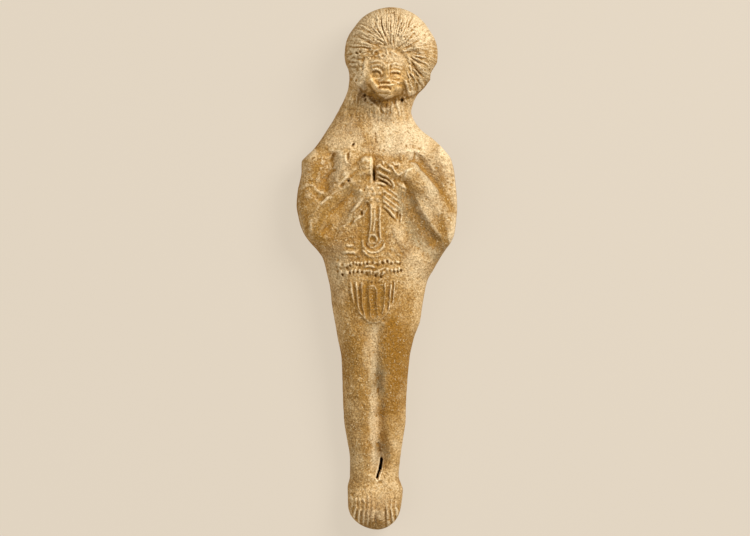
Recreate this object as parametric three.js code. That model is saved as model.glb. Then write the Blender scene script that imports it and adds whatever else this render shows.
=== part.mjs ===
// A mould-pressed terracotta figurine of a standing woman with her hands at her breasts, lying on its back.
// One piece of fired clay: round head with a wide fluted hairdress, folded arms, a pendant, a beaded girdle,
// a fringed apron and closed legs that end in splayed toes. The back is smoothed flat, so it lies still.
// Millimetres. X runs across to the viewer's right, Y from the toes up to the crown, Z out of the front.
// The origin is on the resting plane, in the middle of the outline.
import * as THREE from "three";

// Overall sizes
const length = 165; // toes to crown
const width = 51; // across the elbows
const hairRadius = 14.8; // the round hairdress, seen from the front

// Heights of the front over the resting plane
const hairDepth = 24.4;
const faceDepth = 22.6;
const neckDepth = 14.8;
const chestDepth = 15.6;
const bellyDepth = 17.2;
const kneeDepth = 13.4;
const ankleDepth = 11.4;
const toeDepth = 13.6;

// Heights at which the outline is widest, where the mould's rim was trimmed
const hairRim = 9.8;
const shoulderRim = 6.2;
const legRim = 5.2;

// The smoothed back
const restShare = 0.62; // share of the half width that is truly flat
const headLift = 1.8; // how far the back of the head clears the resting plane
const heelLift = 1.2;
const leastClay = 1.6; // clay left under the deepest cut

// Arms, hands and breasts
const armRadius = 4.2;
const wristRadius = 3.2;
const armCrest = 14.4; // crest of the upper arms over the resting plane
const wristCrest = 18;
const armHollow = 2.6; // depth of the valleys beside the arms
const armHollowHalf = 3.4;
const fingerPitch = 1.75;
const fingerHeight = 0.75;
const handSlitDepth = 2.2;
const handSlitHalf = 1.3;
const breastRadius = 5.2;
const breastHeight = 1;

// Hairdress and face
const lockCount = 24;
const lockDepth = 0.8;
const foreheadStep = 2.2; // how far the hairdress sinks to meet the forehead
const faceHalfWidth = 7;
const faceHalfHeight = 7.9;
const browHeight = 0.7;
const noseHeight = 2.4;
const lipHeight = 0.8;
const cheekHeight = 0.8;

// Dress
const strapHeight = 0.8;
const strapHalf = 0.9;
const bandHalf = 2.4;
const knotRadius = 3.4;
const beadHeight = 0.6;
const beadHalf = 1.1;
const apronHalf = 8.3;
const apronReach = 14.6;
const apronRim = 0.9;
const apronHeight = 0.55;
const fluteDepth = 0.6;

// Legs and feet
const legGroove = 3.4;
const legGrooveHalf = 2.2;
const thighSwell = 0.6;
const kneeSwell = 0.55;
const ankleSlit = 6.5; // depth of the open slit between the ankles
const ankleSlitHalf = 0.75;
const toePitch = 1.58;
const toeHeight = 0.75;

// A place on the front: percent of the width from the middle line, and percent of the length up from the toes
const at = (across, up) => new THREE.Vector2((across / 100) * width, (up / 100 - 0.5) * length);
const upTo = (up) => (up / 100 - 0.5) * length;

// Outline: [percent of the length up from the toes, percent of the width from the middle line]
const leftOutline = [
  [4.1, -18.1], [8, -18.4], [10.3, -16.9], [13.3, -16.9], [17.2, -18.7], [21, -20.6],
  [24.8, -21.2], [32.5, -22.1], [36.4, -24.3], [44, -28.6], [49.8, -31.7], [52.1, -33.9],
  [53.6, -37.3], [55.2, -42], [57.1, -46], [59.4, -48.5], [62.2, -50], [68.6, -48.5],
  [70.5, -47.5], [71.6, -44.1], [72.8, -39.8], [76.6, -31.1], [80.5, -23.7], [82.8, -20],
  [84.3, -18.1], [86.2, -17.2],
];
const rightOutline = [
  [4.1, 15], [7.6, 16.3], [8.7, 15.3], [10.3, 13.8], [17.2, 16.3], [21, 18.1], [24.8, 18.4],
  [32.5, 20.3], [36.4, 22.8], [40.2, 27.1], [44, 28.9], [47.9, 31.7], [49.8, 35.1], [53.6, 42.6],
  [55.2, 46.3], [57.1, 48.5], [59.4, 49.4], [62.2, 50], [67, 48.8], [70.9, 46.3], [72.8, 42],
  [74.7, 35.8], [76.6, 27.7], [78.4, 23.4], [80.1, 21.5], [81.8, 22.8], [83.3, 25.2],
  [84.7, 29.6], [86.2, 33.3],
];
const hairCentre = new THREE.Vector2(at(8.8, 0).x, length / 2 - hairRadius);
const neckJoin = [0.5, 0.15]; // the outline turns from neck to hairdress here, in radii below its centre
const toeTurn = 4.9; // below this the outline rounds in to the toes
const toeMiddle = 0.5;

// Height at the rim, height at the middle line and squareness of the section, each up the body
const rimHeights = [
  [0.1, legRim],
  [24.8, legRim],
  [44, shoulderRim],
  [72.8, shoulderRim],
  [80.5, shoulderRim + 0.4],
  [83.9, 8.2],
  [90.1, hairRim],
  [100, hairRim],
];
const middleHeights = [
  [0.1, toeDepth],
  [3.4, toeDepth],
  [8.5, ankleDepth],
  [14.3, ankleDepth],
  [27.7, kneeDepth],
  [36.4, bellyDepth - 2],
  [46.9, bellyDepth - 0.9],
  [55.5, bellyDepth],
  [65.1, bellyDepth - 0.9],
  [72.8, chestDepth],
  [78.2, neckDepth],
  [100, neckDepth],
];
const sectionPowers = [
  [0.1, 2.4],
  [24.8, 2.3],
  [44, 2.4],
  [55.5, 2.8],
  [70.9, 2.8],
  [78.6, 2.2],
  [100, 2.2],
];

const clamp = THREE.MathUtils.clamp;
const smooth = (low, high, v) => {
  const s = clamp((v - low) / (high - low), 0, 1);
  return s * s * (3 - 2 * s);
};

// Smooth curve through [percent up, value] stations: a cubic between neighbours that doesn't overshoot
function through(stations, y) {
  const list = stations.map(([up, value]) => [upTo(up), value]);
  const y0 = clamp(y, list[0][0], list.at(-1)[0]);
  let i = list.findIndex(([place]) => place >= y0);
  i = clamp(i - 1, 0, list.length - 2);
  const slope = (j) => (list[j + 1][1] - list[j][1]) / (list[j + 1][0] - list[j][0]);
  const tangent = (j) => {
    if (j === 0 || j === list.length - 1) return slope(Math.min(j, list.length - 2));
    const [before, after] = [slope(j - 1), slope(j)];
    return before * after > 0 ? (2 * before * after) / (before + after) : 0;
  };
  const step = list[i + 1][0] - list[i][0];
  const s = (y0 - list[i][0]) / step;
  return (
    list[i][1] * (1 + 2 * s) * (1 - s) ** 2 +
    list[i + 1][1] * s * s * (3 - 2 * s) +
    step * s * (1 - s) * (tangent(i) * (1 - s) - tangent(i + 1) * s)
  );
}

// The higher of two surfaces, with a rounded valley of about the given size between them
function blendMax(a, b, size) {
  const h = clamp(0.5 + (0.5 * (a - b)) / size, 0, 1);
  return b + (a - b) * h + size * h * (1 - h);
}

// Distance from a point to a line of points, and the share of the way along it
function fromLine(point, line) {
  const away = new THREE.Vector2();
  const whole = line.slice(1).reduce((sum, p, i) => sum + p.distanceTo(line[i]), 0);
  let best = { distance: Infinity, share: 0 };
  let done = 0;
  line.slice(1).forEach((end, i) => {
    const run = end.clone().sub(line[i]);
    const s = clamp(away.copy(point).sub(line[i]).dot(run) / run.lengthSq(), 0, 1);
    const distance = away.sub(run.clone().multiplyScalar(s)).length();
    if (distance < best.distance) best = { distance, share: (done + s * run.length()) / whole };
    done += run.length();
  });
  return best;
}

const curve = (...places) => new THREE.SplineCurve(places).getPoints(4 * places.length);

// A rounded ridge along a line, or a groove where the height is negative
function stroke(point, line, halfWidth, height) {
  const { distance, share } = fromLine(point, line);
  const side = Math.max(0, 1 - (distance / halfWidth) ** 2) ** 1.5;
  return height * side * smooth(-0.02, 0.15, share) * smooth(1.02, 0.85, share);
}

// A smooth oval swelling or hollow
function dome(point, centre, radiusX, radiusY, height) {
  const inside = 1 - ((point.x - centre.x) / radiusX) ** 2 - ((point.y - centre.y) / radiusY) ** 2;
  return height * Math.max(0, inside) ** 1.5;
}

// The top of a round limb that lies on the body, falling away steeply past its sides
function limb(point, { line, radii, crests }) {
  const { distance, share } = fromLine(point, line);
  const radius = THREE.MathUtils.lerp(radii[0], radii[1], share);
  const crest = THREE.MathUtils.lerp(crests[0], crests[1], share);
  if (distance >= radius) return crest - radius - (distance - radius) * 4;
  return crest - radius * (1 - Math.sqrt(1 - (distance / radius) ** 2));
}

// How far down the rounded toe end a height is, from 0 where it starts to 1 at the tip
const toeTurning = (y) => clamp((upTo(toeTurn) - y) / (upTo(toeTurn) - upTo(0)), 0, 1);

// Left and right edge of the outline at a height
function edgesAt(y) {
  const fromHair = clamp(y - hairCentre.y, -hairRadius, hairRadius);
  const hairHalf = Math.sqrt(hairRadius ** 2 - fromHair ** 2);
  const [joinStart, joinEnd] = neckJoin.map((radii) => hairCentre.y - radii * hairRadius);
  const hairShare = smooth(joinStart, joinEnd, y);
  const toeShare = (1 - toeTurning(y) ** 2.2) ** (1 / 1.8);
  const middle = at(toeMiddle, 0).x;
  return [[leftOutline, -1], [rightOutline, 1]].map(([outline, side]) => {
    const body = (through(outline, y) / 100) * width;
    const edge = THREE.MathUtils.lerp(body, hairCentre.x + side * hairHalf, hairShare);
    return middle + (edge - middle) * toeShare;
  });
}

// Both ends of the body round off to a point on the rim
function endRounding(y) {
  const crown = clamp((y - hairCentre.y) / hairRadius, 0, 1);
  return Math.sqrt(1 - crown * crown) * (1 - toeTurning(y) ** 3) ** (1 / 2.2);
}

// A calm idol's face on thirds: brow, nose and chin. Worked in its own tilted frame, in millimetres,
// with the features turned a little to one side
const onHead = (across, up) => new THREE.Vector2(across, up).multiplyScalar(hairRadius).add(hairCentre);
const face = { centre: onHead(-0.06, -0.44), tilt: THREE.MathUtils.degToRad(8), turn: -0.08 };
function faceFrame(point) {
  const p = point.clone().sub(face.centre).rotateAround(new THREE.Vector2(), face.tilt);
  const narrowing = 1 - 0.3 * clamp(-p.y / faceHalfHeight, 0, 1.2) ** 2;
  return { p, ratio: Math.hypot(p.x / (faceHalfWidth * narrowing), p.y / faceHalfHeight) };
}
function faceHeight({ p: place }) {
  const p = new THREE.Vector2(place.x - face.turn * faceHalfWidth, place.y);
  const v = (across, up) => new THREE.Vector2(across * faceHalfWidth, up * faceHalfHeight);
  const half = new THREE.Vector2(Math.abs(p.x), p.y);
  const brow = curve(v(0.03, 0.3), v(0.26, 0.41), v(0.51, 0.43), v(0.86, 0.23));
  const upperLip = curve(v(-0.41, -0.56), v(0, -0.52), v(0.41, -0.56));
  const lowerLip = curve(v(-0.34, -0.71), v(0, -0.75), v(0.34, -0.71));
  let z = faceDepth - 2.4 * (p.x / faceHalfWidth) ** 2 - 0.9 * (p.y / faceHalfHeight) ** 2;
  z += dome(half, v(0.43, 0.11), 2.9, 1.9, -1); // eye socket
  z += dome(half, v(0.43, 0.1), 1.9, 1.2, 0.9); // eyeball
  z += stroke(half, brow, 1, browHeight);
  z += dome(half, v(0.6, -0.29), 2.9, 2.3, cheekHeight);
  z += stroke(p, upperLip, 0.8, lipHeight);
  z += stroke(p, lowerLip, 0.8, lipHeight);
  z += dome(p, v(0, -0.91), 2.1, 1.4, cheekHeight); // chin
  const down = clamp((0.35 * faceHalfHeight - p.y) / (0.7 * faceHalfHeight), 0, 1);
  const ends = smooth(v(0, -0.42).y, v(0, -0.3).y, p.y) * smooth(v(0, 0.46).y, v(0, 0.3).y, p.y);
  return z + noseHeight * (0.2 + 0.8 * down) * ends * Math.max(0, 1 - (p.x / (1.1 + 1.2 * down)) ** 2);
}

// The hairdress: a round cushion with flutes that fan out from the parting over the brow
const hair = { parting: onHead(0.02, 0.13), power: 2.3 };
function hairHeight(point, { p, ratio }) {
  const share = point.distanceTo(hairCentre) / hairRadius;
  if (share >= 1) return -hairDepth;
  const fromParting = point.clone().sub(hair.parting);
  const cushion = (hairDepth - hairRim) * (1 - share ** hair.power) ** (1 / hair.power);
  const sink = foreheadStep * smooth(1.7, 1, ratio) * (0.25 + 0.75 * smooth(-4, 4, p.y));
  const flutes = Math.abs(Math.sin((Math.atan2(fromParting.x, fromParting.y) * lockCount) / 2)) - 0.6;
  const fade = smooth(2, 6.5, fromParting.length()) * smooth(1, 0.9, share);
  return hairRim + cushion - sink + lockDepth * flutes * fade;
}

const arms = [
  {
    line: [at(-38.5, 70.3), at(-41.6, 65.1), at(-41.6, 58.2)], // left upper arm
    radii: [armRadius + 0.4, armRadius + 0.4],
    crests: [armCrest, armCrest - 1.4],
  },
  {
    line: [at(39.5, 70.9), at(43.2, 65.5), at(43.2, 58.2)], // right upper arm
    radii: [armRadius, armRadius - 0.2],
    crests: [armCrest, armCrest - 1.2],
  },
  {
    line: [at(-36.7, 57.5), at(-29.9, 62.1), at(-16.9, 67)], // left forearm
    radii: [armRadius - 0.4, wristRadius],
    crests: [armCrest + 0.2, wristCrest - 0.5],
  },
  {
    line: [at(42.3, 57.5), at(32, 63.4), at(20.3, 68.4)], // right forearm
    radii: [armRadius + 0.6, wristRadius],
    crests: [armCrest + 0.6, wristCrest],
  },
  {
    line: [at(-16.3, 67.4), at(-9.4, 68.6), at(-5.7, 69.7)], // left hand
    radii: [wristRadius, wristRadius],
    crests: [wristCrest - 0.6, wristCrest + 0.4],
  },
  {
    line: [at(20.3, 68.4), at(12.8, 68.8), at(4.2, 69.3)], // right hand
    radii: [wristRadius + 0.2, wristRadius + 0.4],
    crests: [wristCrest, wristCrest - 0.2],
  },
];
const armHollows = [
  { line: curve(at(-28, 73.6), at(-29.9, 69.3), at(-33.6, 64.4)), size: 1 }, // inside the left upper arm
  { line: curve(at(22.8, 72), at(32, 68.6), at(40.1, 63.6)), size: 1 }, // inside the right upper arm
  { line: curve(at(-11.3, 65.5), at(-21.2, 60.9), at(-31.1, 55.5)), size: 0.9 }, // under the left forearm
  { line: curve(at(12.8, 66.3), at(23.4, 61.7), at(37, 55)), size: 1.3 }, // under the right forearm
];
const breasts = [at(-17.5, 70.9), at(17.2, 71.5)];

// Fingers lie across each breast, one below the other; the left hand's are worn to half their height
const down = (place, distance) => new THREE.Vector2(place.x, place.y - distance);
const hands = [
  { tip: at(-0.8, 71.1), knuckle: at(12.8, 69.5), height: fingerHeight },
  { tip: at(-3.3, 71.3), knuckle: at(-14.4, 69.3), height: fingerHeight / 2 },
];
const fingers = hands.flatMap(({ tip, knuckle, height }) =>
  [0, 1, 2, 3].map((k) => ({ line: [tip, knuckle].map((end) => down(end, k * fingerPitch)), height })),
);
const handSlit = [at(-2, 73.2), at(-1.6, 65.9)];

function armsAndHands(point, chest) {
  let z = chest;
  for (const centre of breasts) z += dome(point, centre, breastRadius, breastRadius, breastHeight);
  for (const { line, size } of armHollows) z += stroke(point, line, armHollowHalf * size, -armHollow * size);
  for (const part of arms) z = blendMax(z, limb(point, part), 1);
  for (const { line, height } of fingers) z += stroke(point, line, fingerPitch / 2, height);
  return z + stroke(point, handSlit, handSlitHalf, -handSlitDepth);
}

// Pendant: a knot of beads, two side bands, and a pair of straps that end in a ring round the navel
const pendant = {
  knot: at(-2, 65.5),
  bands: [
    curve(at(3.6, 64), at(9.1, 62.4), at(14.1, 60.5)),
    curve(at(-6.3, 63.2), at(-10.1, 61.3), at(-16.3, 59)),
  ],
  leftStrap: curve(at(-3.7, 62.4), at(-3.7, 59), at(-5.4, 56.3)),
  ring: curve(at(-5.4, 56.3), at(-5.1, 55), at(-2.6, 54.1), at(0.3, 54.7), at(1.5, 55.9)),
  rightStrap: [at(2.1, 62.1), at(2.2, 55.5)],
  navel: at(-2.4, 55.4),
  crescent: curve(
    ...[at(-11, 55.7), at(-8.8, 54.4), at(-5.1, 53.3)],
    ...[at(-1.4, 52.8), at(2.6, 53.3), at(6.3, 54.6)],
  ),
};
function pendantRelief(point) {
  let z = dome(point, pendant.knot, knotRadius, knotRadius * 0.8, strapHeight);
  for (const band of pendant.bands) z += stroke(point, band, bandHalf, strapHeight * 0.8);
  for (const part of ["leftStrap", "ring", "rightStrap", "crescent"]) {
    z += stroke(point, pendant[part], strapHalf, strapHeight);
  }
  return z + dome(point, pendant.navel, strapHalf * 1.4, strapHalf * 1.4, -strapHeight);
}

// Girdle: two rows of beads over the hips
const girdle = {
  rows: [
    [at(-25.5, 50.7), at(14.7, 51.4)],
    [at(-24.3, 49.2), at(15.3, 49.9)],
  ],
  beads: 11,
};
function girdleRelief(point) {
  return girdle.rows.reduce((sum, row) => {
    const { share } = fromLine(point, row);
    const bead = 0.7 + 0.3 * Math.cos(share * girdle.beads * 2 * Math.PI);
    return sum + bead * stroke(point, row, beadHalf, beadHeight);
  }, 0);
}

// Apron: a rimmed tongue with upright flutes
const apron = { top: at(-2.1, 48.2), flutes: 7 };
function apronRelief(point) {
  const below = (apron.top.y - point.y) / apronReach;
  if (below < -0.1 || below > 1) return 0;
  const half = apronHalf * (1 - clamp(below, 0, 1) ** 2.4) ** (1 / 2);
  const side = (point.x - apron.top.x) / Math.max(half, apronRim);
  if (Math.abs(side) >= 1) return 0;
  const inward = Math.min((1 - Math.abs(side)) * half, (1 - below) * apronReach);
  const edge = smooth(0, apronRim, inward) * smooth(-0.08, 0.02, below);
  const flute = 0.5 - 0.5 * Math.cos((side + 1) * apron.flutes * Math.PI);
  return edge * (apronHeight - fluteDepth * flute * smooth(apronRim, apronRim * 2, inward));
}

// Legs: a groove that deepens to an open slit at the ankles, knees, and toes that fan out
const groove = curve(
  ...[at(-1.7, 39.8), at(-1.7, 35.4), at(-0.5, 29.8), at(0.8, 25.8)],
  ...[at(0.8, 21), at(1.4, 17.2), at(2.5, 13.3), at(0.5, 9.9)],
);
const grooveDeepens = [[0, 0.12], [0.15, 0.3], [0.45, 0.5], [0.6, 0.75], [0.8, 1], [0.92, 0.9], [1, 0.15]];
const slit = [at(2.7, 13.5), at(0.1, 9.7)];
const swellings = [
  { centre: at(-12.5, 27.7), radii: [4.5, 6], height: kneeSwell },
  { centre: at(9.8, 28.1), radii: [4.2, 6], height: kneeSwell },
  { centre: at(-14.4, 35.4), radii: [5.5, 11], height: thighSwell },
  { centre: at(11, 35.8), radii: [5.5, 11], height: thighSwell },
];
const toes = { count: 10, root: at(-0.2, 7), reach: 11.6 };
function depthAlong(table, share) {
  const i = clamp(table.findIndex(([s]) => s >= share), 1, table.length - 1);
  const [[s0, v0], [s1, v1]] = [table[i - 1], table[i]];
  return THREE.MathUtils.lerp(v0, v1, clamp((share - s0) / (s1 - s0), 0, 1));
}
function legsRelief(point) {
  const { distance, share } = fromLine(point, groove);
  let z = -legGroove * depthAlong(grooveDeepens, share) * Math.exp(-((distance / legGrooveHalf) ** 2));
  for (const { centre, radii, height } of swellings) z += dome(point, centre, radii[0], radii[1], height);
  z += stroke(point, slit, ankleSlitHalf, -ankleSlit);
  const below = toes.root.y - point.y;
  if (below < 0) return z;
  const side = (point.x - toes.root.x) / (toePitch * (0.78 + 0.03 * below));
  if (Math.abs(side) > toes.count / 2) return z;
  const ridge = Math.abs(Math.sin(side * Math.PI)) - 0.5;
  return z + toeHeight * ridge * smooth(0, 5, below) * smooth(toes.reach, toes.reach - 2, below);
}

// Height of the front over the resting plane: an arched body, and the carving on it, which rounds off
// with the body towards the outline
function frontAt(point, side) {
  const levels = [rimHeights, middleHeights, sectionPowers].map((list) => through(list, point.y));
  const [rim, middle, power] = levels;
  const arch = (1 - Math.abs(side) ** power) ** (1 / power);
  const body = rim + (middle - rim) * endRounding(point.y) * arch;
  const inFace = faceFrame(point);
  let z = armsAndHands(point, body);
  z += pendantRelief(point) + girdleRelief(point) + apronRelief(point) + legsRelief(point);
  z = blendMax(z, hairHeight(point, inFace), 0.4);
  z = THREE.MathUtils.lerp(body, z, Math.sqrt(1 - Math.abs(side) ** 12));
  const jaw = 0.08 * smooth(2, -4, inFace.p.y);
  return THREE.MathUtils.lerp(z, faceHeight(inFace), smooth(1.07 + jaw, 0.94, inFace.ratio));
}

// Height of the smoothed back: flat along the middle, rounding up to the rim
function backAt(y, side) {
  const rim = through(rimHeights, y);
  const lift = headLift * smooth(upTo(80), upTo(100), y) + heelLift * smooth(upTo(12), upTo(0), y);
  const round = clamp((Math.abs(side) - restShare) / (1 - restShare), 0, 1);
  const low = THREE.MathUtils.lerp(rim, lift, endRounding(y));
  return low + (rim - low) * (1 - Math.sqrt(1 - round * round));
}

// Rings across the body, closer together where there is carving: [percent up, rings since the last]
const ringBands = [
  [0, 0],
  [4.9, 9],
  [9.9, 6],
  [39.2, 16],
  [52.1, 18],
  [66.1, 17],
  [72.8, 14],
  [82.4, 9],
  [91.1, 15],
  [100, 13],
];
const frontColumns = 32;
const backColumns = 9;
const flankStart = 0.9; // share of the half width where the front turns down
const flankColumns = 0.87; // share of the columns used before it

function ringHeights() {
  const heights = [];
  const last = ringBands.length - 2;
  ringBands.slice(1).forEach(([up, count], band) => {
    const [from, to] = [upTo(ringBands[band][0]), upTo(up)];
    for (let k = 1; k <= count; k++) {
      let share = k / count;
      if (band === 0) share = 1 - Math.cos((share * Math.PI) / 2);
      if (band === last) share = Math.sin((share * Math.PI) / 2);
      if (band < last || k < count) heights.push(THREE.MathUtils.lerp(from, to, share));
    }
  });
  return heights;
}
function frontShare(s) {
  const u = Math.min(Math.abs(s), 1);
  const inner = u / flankColumns;
  const t = u < flankColumns
    ? flankStart * inner * (0.75 + 0.25 * inner * inner)
    : 1 - (1 - flankStart) * ((1 - u) / (1 - flankColumns)) ** 2;
  return Math.sign(s) * Math.min(t, 1);
}

// One ring: over the front from right to left, then back under the body. A shift of half a column
// gives the places halfway between the ring's own
function ringAt(y, shift = 0) {
  const [left, right] = edgesAt(y);
  const [middle, half] = [(left + right) / 2, (right - left) / 2];
  const ring = [];
  for (let k = shift; k < frontColumns; k++) {
    const side = -frontShare((2 * k) / frontColumns - 1);
    const point = new THREE.Vector2(middle + half * side, y);
    const clay = leastClay * Math.sqrt(Math.max(0, 1 - side * side)) * endRounding(y);
    ring.push(new THREE.Vector3(point.x, y, Math.max(frontAt(point, side), backAt(y, side) + clay)));
  }
  for (let k = shift; k < backColumns; k++) {
    const side = -Math.cos((k / backColumns) * Math.PI);
    ring.push(new THREE.Vector3(middle + half * side, y, backAt(y, side)));
  }
  return ring;
}

// Closed skin over the rings, with a fan to a point at each end. Each four-sided cell is folded along
// the diagonal that passes closer to the surface at its middle
function skinOver(heights, start, end) {
  const rings = heights.map((y) => ringAt(y));
  const count = rings[0].length;
  const index = [];
  const cells = (i, middles) => {
    for (let j = 0; j < count; j++) {
      const next = (j + 1) % count;
      const [a, b] = [1 + i * count + j, 1 + i * count + next];
      const [c, d] = [b + count, a + count];
      const z = middles[j].z * 2;
      const alongAC = Math.abs(rings[i][j].z + rings[i + 1][next].z - z);
      const alongBD = Math.abs(rings[i][next].z + rings[i + 1][j].z - z);
      if (alongAC <= alongBD) index.push(a, c, b, a, d, c);
      else index.push(a, d, b, b, d, c);
    }
  };
  const points = [start, ...rings.flat(), end];
  const top = 1 + (rings.length - 1) * count;
  for (let j = 0; j < count; j++) {
    const next = (j + 1) % count;
    index.push(0, 1 + j, 1 + next);
    index.push(points.length - 1, top + next, top + j);
  }
  for (let i = 0; i < rings.length - 1; i++) cells(i, ringAt((heights[i] + heights[i + 1]) / 2, 0.5));
  const geometry = new THREE.BufferGeometry().setFromPoints(points);
  geometry.setIndex(index);
  geometry.computeVertexNormals();
  return geometry;
}

function figurineGeometry() {
  const toePoint = new THREE.Vector3(at(toeMiddle, 0).x, upTo(0), legRim);
  const crownPoint = new THREE.Vector3(hairCentre.x, hairCentre.y + hairRadius, hairRim);
  return skinOver(ringHeights(), toePoint, crownPoint);
}

const terracotta = new THREE.MeshStandardMaterial({ color: 0xb99665, roughness: 0.92, metalness: 0 });

const figurine = new THREE.Mesh(figurineGeometry(), terracotta);
figurine.name = "figurine";

const part = new THREE.Group();
part.add(figurine);
export default part;
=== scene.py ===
# Terracotta figurine, pressed in a one-sided mould, lying on its smoothed back.
# The surface is worked out in millimetres on one grid of rows across the body,
# and set into the mesh in metres.
import math

import bpy
import numpy as np
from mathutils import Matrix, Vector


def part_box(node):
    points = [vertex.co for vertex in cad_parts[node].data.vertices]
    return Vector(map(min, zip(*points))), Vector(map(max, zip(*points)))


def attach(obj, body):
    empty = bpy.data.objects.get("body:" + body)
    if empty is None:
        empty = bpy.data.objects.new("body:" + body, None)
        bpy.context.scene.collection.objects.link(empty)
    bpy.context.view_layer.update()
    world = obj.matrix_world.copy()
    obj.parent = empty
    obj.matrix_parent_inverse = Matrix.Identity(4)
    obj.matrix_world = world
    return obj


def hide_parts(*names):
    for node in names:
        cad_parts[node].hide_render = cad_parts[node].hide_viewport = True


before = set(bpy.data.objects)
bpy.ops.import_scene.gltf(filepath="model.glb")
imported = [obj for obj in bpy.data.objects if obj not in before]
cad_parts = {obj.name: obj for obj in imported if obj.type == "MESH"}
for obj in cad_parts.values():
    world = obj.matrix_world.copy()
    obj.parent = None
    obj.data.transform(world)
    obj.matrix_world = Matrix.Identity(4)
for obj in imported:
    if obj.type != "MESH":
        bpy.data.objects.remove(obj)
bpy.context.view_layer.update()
clayLow, clayHigh = (np.array(corner) * 1000 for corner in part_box("figurine"))
bodyWidth, bodyLength = (clayHigh - clayLow)[:2]
print("frame loaded: figurine", np.round(clayHigh - clayLow, 2), "mm")


# Places and curves

def at(across, up):
    # percent of the width from the middle line, percent of the length up from the toes
    return np.array([across / 100 * bodyWidth, (up / 100 - 0.5) * bodyLength])


def atAll(places):
    # the same for a table of places
    return np.array([at(*place) for place in places])


def upTo(up):
    # y in mm of a height in percent of the length
    return (up / 100 - 0.5) * bodyLength


def smoothStep(low, high, v):
    # 0 at low, 1 at high, and 3 s squared less 2 s cubed between
    s = np.clip((v - low) / (high - low), 0, 1)
    return s * s * (3 - 2 * s)


def through(stations, y):
    # smooth curve through (percent up, value): a cubic between neighbours that never overshoots
    places = np.array([upTo(up) for up, value in stations])
    values = np.array([float(value) for up, value in stations])
    step = np.diff(places)
    slope = np.diff(values) / step
    both = slope[:-1] * slope[1:]
    inner = np.where(both > 0, 2 * both / np.where(both > 0, slope[:-1] + slope[1:], 1), 0)
    tangent = np.concatenate([slope[:1], inner, slope[-1:]])
    y = np.clip(y, places[0], places[-1])
    i = np.clip(np.searchsorted(places, y) - 1, 0, len(step) - 1)
    s = (y - places[i]) / step[i]
    ends = values[i] * (1 + 2 * s) * (1 - s) ** 2 + values[i + 1] * s * s * (3 - 2 * s)
    return ends + step[i] * s * (1 - s) * (tangent[i] * (1 - s) - tangent[i + 1] * s)


def rounded(*places, between=6):
    # smooth curve through the places: a cubic whose slope at each is that between its neighbours
    p = np.array(places)
    p = np.vstack([2 * p[0] - p[1], p, 2 * p[-1] - p[-2]])
    s = (np.arange(between) / between)[:, None]
    runs = [
        0.5 * (2 * b + (c - a) * s + (2 * a - 5 * b + 4 * c - d) * s**2 + (3 * b - a - 3 * c + d) * s**3)
        for a, b, c, d in zip(p[:-3], p[1:-2], p[2:-1], p[3:])
    ]
    return np.vstack(runs + [p[-2:-1]])


def curve(places, between=6):
    # the same through a table of places in percent
    return rounded(*atAll(places), between=between)


def fromLine(x, y, line):
    # distance to a line of places, and the share of the way along it
    runs = np.diff(line, axis=0)
    lengths = np.hypot(runs[:, 0], runs[:, 1])
    nearest = np.full(x.shape, np.inf)
    share = np.zeros(x.shape)
    done = 0.0
    for (startX, startY), (runX, runY), size in zip(line[:-1], runs, lengths):
        s = np.clip(((x - startX) * runX + (y - startY) * runY) / size**2, 0, 1)
        distance = np.hypot(x - startX - s * runX, y - startY - s * runY)
        nearer = distance < nearest
        nearest = np.where(nearer, distance, nearest)
        share = np.where(nearer, (done + s * size) / lengths.sum(), share)
        done += size
    return nearest, share


def lumps(x, y, cell, seed):
    # smooth noise from -1 to 1: random values at the corners of square cells, eased between
    grid = np.random.default_rng(seed).uniform(-1, 1, (256, 256))
    u, v = x / cell + 101.3, y / cell + 97.7
    i, j = np.floor(u).astype(int), np.floor(v).astype(int)
    a, b = smoothStep(0, 1, u - i), smoothStep(0, 1, v - j)
    low = grid[i % 256, j % 256] * (1 - a) + grid[(i + 1) % 256, j % 256] * a
    high = grid[i % 256, (j + 1) % 256] * (1 - a) + grid[(i + 1) % 256, (j + 1) % 256] * a
    return low * (1 - b) + high * b


def specks(x, y, cell, share, radius, seed):
    # one round speck at a random place in some of the cells: 1 at its middle, 0 past its rim
    rng = np.random.default_rng(seed)
    offsetX, offsetY, chance, size = rng.uniform(0, 1, (4, 128, 128))
    i, j = np.floor(x / cell).astype(int), np.floor(y / cell).astype(int)
    result = np.zeros(x.shape)
    for stepX in (-1, 0, 1):
        for stepY in (-1, 0, 1):
            a, b = (i + stepX) % 128, (j + stepY) % 128
            dx = x - (i + stepX + offsetX[a, b]) * cell
            dy = y - (j + stepY + offsetY[a, b]) * cell
            reach = radius * (0.5 + size[a, b])
            speck = np.clip(1 - (dx * dx + dy * dy) / reach**2, 0, 1)
            result = np.maximum(result, np.where(chance[a, b] < share, speck, 0))
    return result


# Clay: a surface height over the grid, worked by pressing and swelling it in place

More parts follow.
